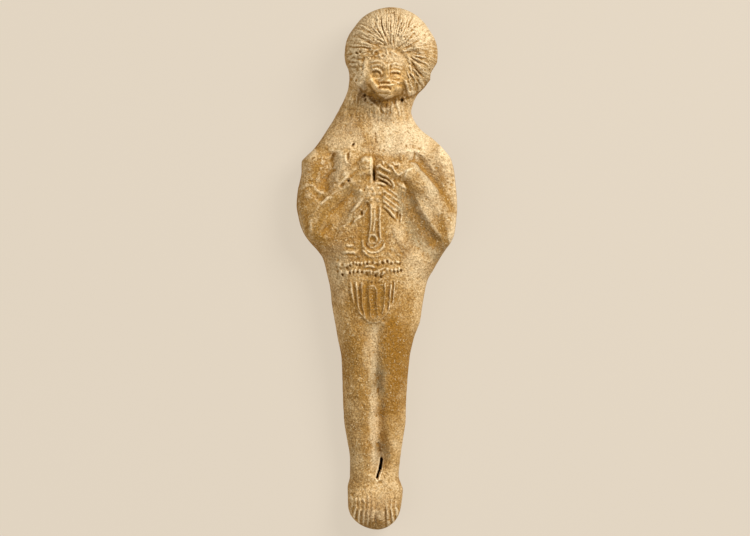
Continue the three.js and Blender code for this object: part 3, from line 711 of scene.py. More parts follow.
head = {
    "hairDepth": 24.4,
    "faceDepth": 22.6,
    "foreheadStep": 2.2,
    "chinNarrowing": 0.46,
    "faceEdge": (1.07, 0.94),  # where the face begins to rise from the hair, and where it is whole
    "valley": (0.4, 1.8),  # mm of rounding between hair and body at the sides, and more below
    "hairPower": 2.3,
    "faceArch": 2.4,  # mm lower at the cheeks, the brow and the chin
    "browFall": 0.9,
    "chinFall": 2.5,
    "faceCentre": onHead(-0.06, -0.44),
    "faceTilt": math.radians(8),
    "faceHalf": (7, 7.9),
}


def faceFrame(x, y):
    # mm across and up in the tilted face, and the share of the way to its oval edge, narrow at the chin
    c, s = math.cos(head["faceTilt"]), math.sin(head["faceTilt"])
    dx, dy = x - head["faceCentre"][0], y - head["faceCentre"][1]
    across, up = dx * c - dy * s, dx * s + dy * c
    halfWidth, halfHeight = head["faceHalf"]
    narrowing = 1 - head["chinNarrowing"] * np.clip(-up / halfHeight, 0, 1.2) ** 2
    return across, up, np.hypot(across / (halfWidth * narrowing), up / halfHeight)


def hairCushion(x, y):
    # round cushion of hair, 1 less the share of the radius to a power, sunk behind the face
    across, up, ratio = faceFrame(x, y)
    share = np.hypot(x - hairCentre[0], y - hairCentre[1]) / hairRadius
    rim = through(body["rim"], upTo(100))
    power = head["hairPower"]
    cushion = (head["hairDepth"] - rim) * (1 - np.clip(share, 0, 1) ** power) ** (1 / power)
    sink = head["foreheadStep"] * smoothStep(1.7, 1, ratio) * (0.25 + 0.75 * smoothStep(-4, 4, up))
    return np.where(share < 1, rim + cushion - sink, -head["hairDepth"])


def evenly(line, count):
    # the line as places an equal share of its length apart
    along = np.concatenate([[0], np.cumsum(np.hypot(*np.diff(line, axis=0).T))])
    stops = np.linspace(0, along[-1], count)
    return np.stack([np.interp(stops, along, line[:, 0]), np.interp(stops, along, line[:, 1])], axis=1)


hair = {
    "guides": (  # how the strands run, from over the brow out to the rim, left to right
        ((5.4, 91.8), (0.5, 92), (-6.3, 92.2), (-12.5, 92.1), (-18.7, 91.8)),
        ((4.8, 92.4), (-0.2, 93), (-6.3, 93.7), (-11.3, 94.5), (-16.9, 94.2)),
        ((5.4, 92.7), (1.1, 93.9), (-4.5, 95.2), (-10.1, 96.2), (-14.4, 96.4)),
        ((6.7, 92.6), (2.6, 94.3), (-1.4, 96.4), (-6.3, 98.3)),
        ((7.6, 92.5), (4.2, 94.7), (1.4, 96.8), (-0.2, 99.5)),
        ((8.5, 92.4), (6, 95.1), (5.1, 97.7), (4.8, 100)),
        ((9.4, 92.4), (9.4, 95.1), (10.1, 97.7), (10.4, 100)),
        ((10.4, 92.4), (12.8, 94.9), (15.3, 97.4), (16.3, 99.8)),
        ((11.3, 92.4), (16.6, 94.7), (20.3, 96.8), (22.8, 98.9)),
        ((11.9, 92.3), (19, 94.1), (24, 95.8), (28.3, 97.7)),
        ((12.5, 92.2), (19.7, 93.2), (25.9, 94.3), (33.3, 95.8)),
        ((13.5, 91.9), (20.3, 92.4), (27.1, 92.7), (35.8, 93.5)),
        ((15.9, 91.4), (21.5, 91.2), (27.7, 90.8), (37, 90.4)),
        ((17.2, 90.6), (22.1, 89.9), (27.1, 88.7), (34.5, 87)),
        ((17.8, 89.7), (21.5, 88), (25.2, 86.4), (30.2, 84.5)),
        ((17.2, 88.1), (19.7, 86.2), (22.1, 84.7), (25.2, 83.2)),
    ),
    "longStrands": 47,
    "ridgeHeight": 0.38,
    "ridgeHalf": 0.3,
    "toGroove": 0.42,
    "shortStrands": 110,
    "grooveDepth": 0.26,
    "grooveHalf": 0.25,
    "pits": 340,
    "pitSizes": ((0.18, 0.34), (0.24, 0.46), (0.25, 0.7)),
    # least and most of both radii and of the depth
    "curlHalf": 0.42,
    "curlEye": (0.5, 0.6),
    "curls": (  # place, radius and height in mm
        ((-0.2, 91.3), 0.95, 0.5), ((3.6, 90.8), 0.85, 0.5), ((-3.6, 90.5), 0.7, 0.3),
        ((7.9, 91.3), 0.7, 0.25), ((11.3, 90.8), 0.75, 0.2),
    ),
    "marks": (
        # deep cuts of the right side lock, and ridges between them
        (((17.2, 92.3), (22.1, 93), (25.9, 94)), 0.45, -0.8),
        (((17.8, 91.5), (22.8, 91.6), (27.7, 91)), 0.5, -0.8),
        (((21.5, 89.7), (23.7, 88.5), (26.5, 87.6), (29.6, 86.8)), 0.5, -0.8),
        (((22.1, 90.3), (26.5, 89.5), (30.2, 88.7)), 0.4, -0.6),
        (((21.2, 90.1), (21.5, 88.5), (22.8, 87.2)), 0.45, -0.7),
        (((23.1, 87.4), (25.2, 86), (26.5, 84.9)), 0.5, -0.8),
        (((27.7, 87), (30.2, 86), (30.8, 84.9)), 0.5, -0.8),
        (((24.3, 85.7), (24.9, 84.7), (25.2, 83.7)), 0.5, -1.0),
        (((32, 88.5), (33.9, 87.6), (34.5, 86.6)), 0.4, -0.6),
        (((22.8, 89.9), (25.9, 88.6), (29.6, 87.8), (32.7, 87.2)), 0.4, 0.5),
        (((22.8, 88.3), (25.9, 87.1), (28.3, 85.7), (29.6, 84.5)), 0.4, 0.5),
        (((21.2, 87.8), (23.1, 86.4), (24.6, 84.9)), 0.4, 0.5),
        (((29.6, 89.7), (32.7, 88.7), (35.8, 87.6)), 0.4, 0.5),
        (((20.3, 89.3), (21.8, 87.8), (24.6, 86.2), (26.5, 84.3)), 0.4, 0.5),
        (((24, 89.7), (27.7, 88.7), (31.4, 88.1)), 0.4, 0.5),
        (((19.7, 87.4), (21.2, 85.8), (22.8, 83.9)), 0.4, 0.5),
        (((26.5, 86.2), (28.6, 85.5), (29.6, 84.7)), 0.4, 0.5),
        # left side: worn waves over a lobe of short level strands, a pit and notches at the rim
        (((-16.3, 94.2), (-13.2, 94.8), (-10.7, 94.6), (-7, 93.8), (-2.6, 93.2), (1.7, 92.9)), 0.55,
         -0.85, 0.15),
        (((-18.1, 92.6), (-13.8, 92.4), (-8.2, 92.5), (-3.3, 92)), 0.5, -0.8, 0.15),
        (((-19.7, 90.8), (-17.8, 91), (-15.6, 91.5)), 0.6, -1.1, 0.15),
        (((-15.6, 90.6), (-11.9, 90.2), (-8.2, 90.1)), 0.45, -0.6, 0.15),
        (((-18.1, 89.7), (-15, 89.6), (-10.7, 89.3)), 0.5, -0.7, 0.15),
        (((-18.1, 88.9), (-14.4, 88.6), (-9.4, 88.7)), 0.45, -0.5, 0.15),
        (((-16.3, 88), (-14.7, 87.3), (-15, 86.4)), 0.6, -0.8, 0.15),
        (((-13.2, 88.3), (-10.7, 87.8), (-9.4, 86.8)), 0.45, -0.4, 0.15),
        (((-7.6, 90.8), (-9.1, 89.5), (-8.8, 87.8)), 0.5, -0.5, 0.15),
        # hair that falls beside both cheeks and on to the neck
        (((-7, 90.4), (-7.9, 88.5), (-9.4, 86.2), (-11.3, 83.5)), 2.0, 0.5, 0.3),
        (((-13.2, 87.4), (-13.2, 85.5), (-15.6, 83.2), (-20, 80.9)), 2.6, 1.3, 0.3),
        (((-16.3, 86.4), (-11.9, 85.1), (-6.3, 84.1)), 1.7, 1.1, 0.2),
        (((29.6, 85.1), (24.6, 83.7), (19, 83)), 1.5, 0.9, 0.2),
        (((17.8, 90.8), (20, 88.5), (19, 86.2), (19.3, 83.2)), 1.8, 0.8),
        (((29.6, 87), (25.2, 84.9), (20.9, 82.8), (19, 80.5)), 2.4, 0.6, 0.3),
        (((15.6, 85.5), (16.9, 83.9), (18.1, 81.6)), 0.5, 0.6),
        (((17.8, 86.2), (19.7, 84.3), (20.6, 82.2)), 0.5, 0.6),
        (((20, 86.2), (21.5, 84.7), (22.4, 83)), 0.5, 0.5),
        (((12.5, 83), (13.2, 81.2), (14.7, 79.3)), 0.5, 0.5),
        (((-13.8, 85.5), (-15.6, 83.5), (-20, 80.9)), 0.5, 0.2),
        (((-10.7, 85.1), (-12.5, 82.8), (-16.3, 79.7)), 0.5, 0.2),
        # tufts between the curls
        (((6, 92.2), (6.3, 91.4), (5.8, 90.4)), 0.4, 0.5),
        (((8.2, 91.7), (10.4, 91.5), (12.2, 91)), 0.4, 0.4),
    ),
}


def carveHair(clay):
    # each strand runs between two guides: long ones evenly spaced, short grooves at random places
    rng = np.random.default_rng(21)
    guides = [evenly(atAll(line), 12) for line in hair["guides"]]
    last = len(guides) - 1.001
    for turn in np.linspace(0, last, hair["longStrands"]):
        turn = np.clip(turn + rng.uniform(-0.08, 0.08), 0, last)
        i, share = int(turn), turn % 1
        line = guides[i] * (1 - share) + guides[i + 1] * share + rng.normal(0, 0.04, (12, 2))
        line = rounded(*line[rng.integers(0, 4):rng.integers(9, 13)], between=3)
        run = line[-1] - line[0]
        beside = np.array([run[1], -run[0]]) / np.hypot(*run) * hair["toGroove"]
        height = hair["ridgeHeight"] * rng.uniform(0.6, 1.3)
        clay.stroke(line, hair["ridgeHalf"], height, 0.2)
        clay.stroke(line + beside, hair["grooveHalf"], -height, 0.25)
    for turn in rng.uniform(0, last, hair["shortStrands"]):
        i, share = int(turn), turn % 1
        line = guides[i] * (1 - share) + guides[i + 1] * share + rng.normal(0, 0.07, (12, 2))
        start = rng.integers(3, 9)
        line = rounded(*line[start:start + rng.integers(3, 6)], between=3)
        clay.stroke(line, hair["grooveHalf"], -hair["grooveDepth"] * rng.uniform(0.4, 1.4), 0.2)
    for k in range(hair["pits"]):
        line = guides[rng.integers(0, len(guides))]
        place = line[rng.integers(4, 12)] + rng.normal(0, 0.7, 2)
        across, along, depth = (rng.uniform(*sizes) for sizes in hair["pitSizes"])
        clay.dome(place, (across, along), -depth, rng.uniform(0, 180))


def carveHead(clay):
    carveHair(clay)
    # curls along the forehead
    for place, radius, height in hair["curls"]:
        clay.ring(at(*place), radius, hair["curlHalf"], height)
        clay.dome(at(*place), hair["curlEye"], -0.4 * height)
    clay.work(hair["marks"])


face = {
    "noseRidge": ((5.9, 89.5), (5.9, 88), (5.4, 86.4)),
    "noseSection": (1.3, 1.6, 0.2),  # half width and height in mm, taper
    "marks": (
        # jaw drawn in on both sides of the lips and rounded under
        ((-6.3, 84.3), (2.2, 3.4), -1.2, -20),
        ((16.3, 84.1), (2.0, 3.2), -1.0, 20),
        (((-4.5, 84.3), (-0.8, 82.7), (4.8, 81.7), (11, 82.6), (15.3, 84.3)), 1.9, -1.3),
        # brow folds: the left pair steep, the right pair nearly level
        (((-5, 89.4), (-1.4, 89.8), (2, 89.7), (5.1, 89.1)), 0.6, 0.6),
        (((-4.4, 88.7), (-0.8, 89.1), (2.6, 89), (5.2, 88.3)), 0.5, 0.8),
        (((8.1, 89), (12, 89.4), (15.9, 89)), 0.6, 0.6),
        (((8, 88.3), (10.7, 88.7), (13.3, 88.6), (15.6, 88.2)), 0.5, 0.7),
        # eyes: socket, ball, lids
        ((-0.4, 87.3), (2.5, 1.7), -1.0),
        ((-0.4, 87.3), (1.35, 1.0), 1.25),
        ((11.6, 87.1), (2.5, 1.7), -1.0),
        ((11.6, 87.1), (1.35, 1.0), 1.25),
        (((-2.9, 87.6), (-0.4, 87.9), (1.8, 87.5)), 0.36, -0.7),
        (((8.9, 87.4), (11.3, 87.6), (13.8, 87.4)), 0.36, -0.6),
        (((9.1, 86.5), (11.6, 86.3), (14.3, 86.5)), 0.32, -0.6),
        (((-3.6, 88), (-0.7, 88.3), (2.4, 87.9), (3.3, 87.1)), 0.5, 1.0),
        (((-3.6, 86.6), (-1.1, 86.4), (2, 86.5)), 0.4, 0.55),
        (((7.9, 87.6), (10, 87.9), (12.4, 87.9), (14.5, 87.7)), 0.5, 1.0),
        (((9.1, 86.7), (11.6, 86.5), (14.1, 86.8)), 0.36, 0.7),
        (((8.8, 86.3), (10.7, 86), (13.8, 85.7)), 0.42, 0.6),
        # nose: right edge of the ridge, broad tip with two wings, shadow under it
        (((7.8, 89.7), (7.2, 88.1), (7.8, 86.4)), 0.45, 0.8, 0.2),
        ((5.4, 86.3), (1.7, 1.6), 2.4),
        ((2.8, 86), (0.85, 0.75), 0.8),
        ((7.6, 85.9), (0.85, 0.75), 0.8),
        (((2.3, 85.6), (5.2, 85.6), (8.3, 85.6)), 0.5, -1.2),
        ((4.4, 85.7), (0.35, 0.3), -0.7),
        ((6.7, 85.7), (0.35, 0.3), -0.7),
        # mouth: a sharp upper edge, lobes at both corners, a heavy lower lip and a small crooked chin
        ((5.1, 84.3), (4.6, 3.0), 1.2),
        (((-5.2, 86.3), (-2.5, 85.6), (0.5, 84.5)), 1.3, 2.3),
        (((-4.8, 85.5), (-2.9, 84.5), (-0.2, 83.6)), 0.7, -1.2),
        (((1.3, 85.1), (4.5, 85.3), (8.2, 85.3), (11.6, 85.4), (14.7, 85.8)), 0.75, 1.0, 0.1),
        (((0.5, 84.5), (2.8, 84.8), (6, 84.7), (9.4, 84.4)), 0.7, -0.75),
        ((8, 84.3), (0.4, 0.4), -0.5),
        ((3.9, 84.2), (2.5, 1.1), 0.9, -6),
        (((-0.5, 84.4), (2.3, 84.2), (6, 84)), 0.35, 0.35),
        (((0.1, 83.8), (3.3, 83.6), (7.5, 83.7)), 0.6, -0.85),
        ((12.8, 84.6), (1.5, 1.5), 1.4, 30),
        (((14.1, 85.1), (15, 84.5), (13.8, 83.6)), 0.5, 0.6),
        (((1.7, 83.2), (4.2, 82.9), (6.7, 83.1)), 0.45, -0.5),
        (((4.8, 82.5), (6.7, 82.8), (8.5, 83), (10.4, 83.3)), 0.5, 1.3),
        (((1.4, 82.7), (4.2, 82.3), (7.3, 82.3)), 0.8, -0.8),
    ),
}


def carveFace(clay):
    # nose: narrow ridge, broad tip with two wings, shadow under it
    # narrow ridge of the nose, bent once
    clay.stroke(atAll(face["noseRidge"]), *face["noseSection"])
    clay.work(face["marks"])


neck = {
    "middle": (6, 82.4),
    "spread": 0.018,  # wider by this share for each mm down
    "tressPitch": 1.25,
    "tressHeight": 0.22,
    "gaps": (  # line, depth in mm
        (((1.7, 81.8), (2.3, 80.7), (4.8, 79.3)), 0.4),
        (((7.3, 81.8), (7.9, 80.7), (7.6, 78.9)), 0.35),
        (((11.3, 82.6), (11, 81.6), (12.5, 80.1)), 0.35),
    ),
    "besideGap": (0.65, 0.3),  # mm
    "marks": (
        ((4.2, 80.9), (6.5, 5), 1.5),
    ),
}


def carveNeck(clay):
    # tresses that hang from under the chin on to the chest: a sine across the neck, bent by noise
    x, y = clay.x, clay.y
    middle = at(*neck["middle"])
    inNeck = smoothStep(upTo(83), upTo(81.6), y) * smoothStep(upTo(75.9), upTo(79.7), y)
    spread = (x - middle[0]) / (1 + neck["spread"] * (middle[1] - y))
    bent = spread * 2 * np.pi / neck["tressPitch"] + 2.5 * lumps(x, y, 3, 5)
    wave = np.sin(bent) * (0.6 + 0.6 * lumps(x, y, 2.4, 6))
    clay.z += neck["tressHeight"] * wave * inNeck
    for line, depth in neck["gaps"]:
        clay.stroke(curve(line), 0.55, -depth, 0.3)
        clay.stroke(curve(line) + neck["besideGap"], 0.45, depth * 0.5, 0.3)
    clay.work(neck["marks"])


pit = {
    "holes": (  # place, radii and depth in mm, turn in degrees
        ((-17.5, 66.9), (0.55, 0.6), 2.4, 0), ((-14.8, 73.8), (0.85, 0.36), 2.4, 45),
        ((-8, 65.1), (0.4, 0.4), 1.0, 0), ((-12.4, 91.4), (0.6, 0.42), 1.8, -35),
        ((-12.8, 86.1), (0.4, 0.6), 1.4, 0), ((-7.4, 83.3), (0.75, 0.55), 1.8, 20),
        ((-7, 82.5), (0.4, 0.7), 1.4, -10), ((15.6, 82.4), (0.6, 1.1), 2.2, -12),
        ((17.3, 83.3), (0.35, 0.7), 1.0, 0), ((-3.3, 81.5), (0.5, 0.5), 0.9, 0),
        ((-9.3, 60.8), (0.5, 0.85), 1.0, 15), ((40.7, 65.5), (0.36, 0.4), 0.9, 0),
        ((45.7, 66.2), (0.26, 0.3), 0.7, 0), ((41.6, 62.2), (0.3, 0.3), 0.7, 0),
        ((22, 69), (0.4, 0.36), 0.8, 0), ((34.2, 74.2), (0.26, 0.3), 0.5, 0),
        ((9.8, 56.5), (0.3, 0.4), 0.6, 20), ((-18.7, 90.8), (0.4, 0.6), 1.0, -30),
        ((25.2, 48.2), (0.26, 0.5), 0.6, 20), ((5.4, 81.3), (0.4, 0.6), 0.9, 0),
        ((5.7, 79.7), (0.5, 0.4), 0.8, 0),
    ),
    "seam": ((-1, 75.9), (-0.8, 75.4), (-1.2, 74.9), (-0.8, 74.4)),
    "seamRadii": (0.3, 0.36),
    "seamDepth": 0.9,
    "palmSlit": ((-1.8, 71.3), (-2, 69.3), (-1.7, 66.7)),
    "slitCut": (0.32, -1.0, 0.15),  # half width and height in mm, taper
    "lowerSlitCut": (0.36, -1.5, 0.2),
}


def carvePits(clay):
    # holes of lost grit, a short row of them over the chest, and the blind slit between the hands
    for place, radii, depth, turn in pit["holes"]:
        clay.dome(at(*place), radii, -depth, turn)
    for place in pit["seam"]:
        clay.dome(at(*place), pit["seamRadii"], -pit["seamDepth"])
    slit = atAll(pit["palmSlit"])
    clay.stroke(slit, *pit["slitCut"])
    clay.stroke(slit[1:], *pit["lowerSlitCut"])


# Skin: the whole surface on one grid

skin = {
    "frontColumns": 152,
    "backColumns": 32,
    "flankStart": 0.9,
    "flankColumns": 0.87,
    "rowSteps": (  # percent up, mm between rows
        (0, 0.3), (9, 0.3), (13, 0.42), (16, 0.52), (36, 0.52), (41, 0.29), (75, 0.29), (79, 0.34),
        (82, 0.25), (100, 0.25),
    ),
    "endTurn": 0.035,
    "rimHeight": 7.5,
    "eyeDistance": 1185,
    "edgePower": 12,  # how late the carving fades towards the edge
    "reliefPasses": 14,
    "waver": ((0.16, 2.1), (0.08, 0.9)),  # height and cell of a noise, in mm
    "wear": ((0.32, 3.1), (0.2, 1.2)),
    "lumps": ((0.13, 6), (0.07, 2.3), (0.065, 0.95)),
    "pits": ((0.3, 2.1, 0.4, 0.42), (0.24, 1.2, 0.4, 0.3)),  # depth, cell, share of cells, radius
    "grit": (0.14, 1.3, 0.4, 0.3),
    "chips": ((0.045, 1.1), (0.04, 3.4)),
    "leastChip": 0.012,
    "dents": (  # edge, percent up, half height and depth in mm
        (0, 96.6, 2.6, 0.55), (0, 68.2, 4.2, 0.8), (0, 46.3, 4, 0.3), (1, 97.7, 4.0, 0.6),
        (1, 95.4, 2.4, 0.35),
    ),
}


def rowHeights():
    # rows are spaced by the table, and closer where both ends round off
    fine = np.linspace(upTo(0), upTo(100), 20001)[1:-1]
    heights, sizes = zip(*skin["rowSteps"])
    step = np.interp(fine, [upTo(up) for up in heights], sizes)
    toEnd = np.minimum(fine - upTo(0), upTo(100) - fine)
    step = np.minimum(step, skin["endTurn"] * np.sqrt(2 * hairRadius * toEnd) + 0.004)
    count = np.cumsum((fine[1] - fine[0]) / step)
    return np.interp(np.arange(1, int(count[-1])), count, fine)


def frontShares():
    # places across the front as shares of the half width, closer towards both flanks
    s = np.linspace(1, -1, skin["frontColumns"], endpoint=False)
    u = np.abs(s)
    inner = u / skin["flankColumns"]
    middle = skin["flankStart"] * inner * (0.75 + 0.25 * inner**2)
    flank = 1 - (1 - skin["flankStart"]) * ((1 - u) / (1 - skin["flankColumns"])) ** 2
    return np.sign(s) * np.minimum(np.where(inner < 1, middle, flank), 1)


def soften(grid, passes):
    # each pass mixes a point with its neighbours up, down, left and right
    for _ in range(passes):
        padded = np.pad(grid, 1, mode="edge")
        grid = (padded[:-2, 1:-1] + padded[2:, 1:-1] + padded[1:-1, :-2] + padded[1:-1,
                                                                                  2:] + 4 * grid) / 8
    return grid


def seenFromAbove(x, y, z):
    # clay nearer the eye looks larger: a place moves out by its height over the rim per the eye's distance
    nearer = 1 + (z - skin["rimHeight"]) / skin["eyeDistance"]
    return x * nearer, y * nearer


def layered(x, y, table, seed):
    # sum of noises, each with its own height, cell and seed
    return sum(height * lumps(x, y, cell, seed + k) for k, (height, cell) in enumerate(table))


def edgeFade(side):
    # 1 over the front and 0 at its very edge
    return np.sqrt(1 - np.abs(side) ** skin["edgePower"])


def frontHeight(x, y, side):
    # form that the solid has, then the carving, then wear and the clay's own roughness
    shape = x.shape
    base = archedBody(y, side)
    clay = Clay(x.ravel(), y.ravel(), base.ravel().copy())
    shapeArms(clay)
    shapeDress(clay)
    shapeGirdle(clay)
    shapeApron(clay)
    shapeLegs(clay)
    under = smoothStep(onHead(0, 0)[1], onHead(0, -0.5)[1], clay.y)
    least, more = head["valley"]
    clay.z = blendMax(clay.z, hairCushion(clay.x, clay.y), least + more * under)
    across, up, ratio = faceFrame(clay.x, clay.y)
    halfWidth, halfHeight = head["faceHalf"]
    fall = np.where(up < 0, head["chinFall"], head["browFall"])
    arch = head["faceArch"] * (across / halfWidth) ** 2 + fall * (up / halfHeight) ** 2
    outer, inner = head["faceEdge"]
    outer, inner = outer + 0.1 * smoothStep(2, -4, up), inner - 0.16 * smoothStep(1, -4, up)
    faceShare = smoothStep(outer, inner, ratio)
    clay.z = clay.z + (head["faceDepth"] - arch - clay.z) * faceShare
    # carved lines waver a little and are worn to different depths
    formed = clay.z.copy()
    seenX, seenY = seenFromAbove(clay.x, clay.y, formed)
    clay.x = seenX + layered(seenX, seenY, skin["waver"], 61)
    clay.y = seenY + layered(seenX, seenY, skin["waver"], 63)
    carveNeck(clay)
    carveHead(clay)
    carveFace(clay)
    carveArms(clay)
    carveDress(clay)
    carveGirdle(clay)
    carveApron(clay)
    carveLegs(clay)
    carveFeet(clay)
    worn = 1 + layered(seenX, seenY, skin["wear"], 65)
    clay = Clay(seenX, seenY, formed + (clay.z - formed) * worn)
    carvePits(clay)
    z = clay.z.reshape(shape)
    return soften(base + (z - base) * edgeFade(side), 1)


def roughness(x, y):
    # lumps, less the pits, and the grains of grit
    pits = sum(depth * specks(x, y, *sizes, 31 + k) for k, (depth, *sizes) in enumerate(skin["pits"]))
    height, *sizes = skin["grit"]
    return layered(x, y, skin["lumps"], 11) - pits + height * specks(x, y, *sizes, 33)


def chippedEdge(y, seed):
    # mm worn from an edge: a little everywhere, and noises that are never below 0
    noises = (depth * (1 + lumps(y * 0, y, cell, seed)) for depth, cell in skin["chips"])
    return skin["leastChip"] + sum(noises)


def buildFigurine():
    # front and back as rows of points round the body, closed by a fan at the toes and one at the crown
    y = rowHeights()
    left, right = edgesAt(y)
    chips = [chippedEdge(y, seed) for seed in (71, 72)]
    for edge, up, reach, depth in skin["dents"]:
        chips[edge] = chips[edge] + depth * np.exp(-(((y - upTo(up)) / reach) ** 2))
    left, right = left + chips[0] * endRounding(y), right - chips[1] * endRounding(y)
    middle, half = (left + right) / 2, (right - left) / 2
    front = frontShares()
    back = -np.cos(np.arange(skin["backColumns"]) / skin["backColumns"] * np.pi)
    side, rows = np.meshgrid(front, y)
    x = middle[:, None] + half[:, None] * side
    z = frontHeight(x, rows, side)
    calm = 1 - 0.5 * smoothStep(1.15, 0.85, faceFrame(x, rows)[2])
    z = z + roughness(x, rows) * calm * edgeFade(side) * endRounding(rows)
    relief = z - soften(z, skin["reliefPasses"])
    floor = smoothedBack(rows, side)
    z = np.maximum(z, floor + body["leastClay"] * np.sqrt(1 - side**2) * endRounding(rows))
    z = np.minimum(z, clayHigh[2] - 0.01)
    backSide, backRows = np.meshgrid(back, y)
    backX = middle[:, None] + half[:, None] * backSide
    backZ = smoothedBack(backRows, backSide)

    rings = np.concatenate([np.stack([x, rows, z], 2), np.stack([backX, backRows, backZ], 2)], axis=1)
    count, around = rings.shape[:2]
    toes = np.array([[at(body["toeMiddle"], 0)[0], upTo(0), rings[0, 0, 2]]])
    crown = np.array([[hairCentre[0], upTo(100), rings[-1, 0, 2]]])
    points = np.concatenate([toes, rings.reshape(-1, 3), crown])
    i, j = np.meshgrid(np.arange(count - 1), np.arange(around), indexing="ij")
    here, beside = 1 + i * around + j, 1 + i * around + (j + 1) % around
    quads = np.stack([here, here + around, beside + around, beside], 2).reshape(-1, 4)
    ring = np.arange(around)
    first, last = 1 + ring, 1 + (count - 1) * around + ring
    toeFan = np.stack([np.zeros(around, int), first, np.roll(first, -1)], 1)
    crownFan = np.stack([np.full(around, len(points) - 1), np.roll(last, -1), last], 1)
    faces = quads.tolist() + toeFan.tolist() + crownFan.tolist()

    mesh = bpy.data.meshes.new("figurineSkin")
    mesh.from_pydata((points / 1000).tolist(), [], faces)
    mesh.polygons.foreach_set("use_smooth", np.ones(len(mesh.polygons), bool))
    seenX, seenY = seenFromAbove(x, rows, z)
    masks = {"relief": relief, "strands": strandsAt(seenX, seenY), **stainAndPaintedLightMasks(seenX, seenY)}
    for name, mask in masks.items():
        whole = np.zeros((count, around))
        whole[:, :mask.shape[1]] = mask
        values = np.concatenate([[0], whole.ravel(), [0]]).astype(np.float32)
        mesh.attributes.new(name, "FLOAT", "POINT").data.foreach_set("value", values)
    mesh.update()
    piece = bpy.data.objects.new("figurineClay", mesh)
    bpy.context.collection.objects.link(piece)
    triangles = len(quads) * 2 + around * 2
    print("figurine skin:", count, "rows,", triangles, "triangles")
    return piece


# Stains and painted light: where the clay is rusty, grey, dark or pale, each from 0 to 1; some grey, dark
# and brown places are painted shadow, some pale and honey ones painted highlights

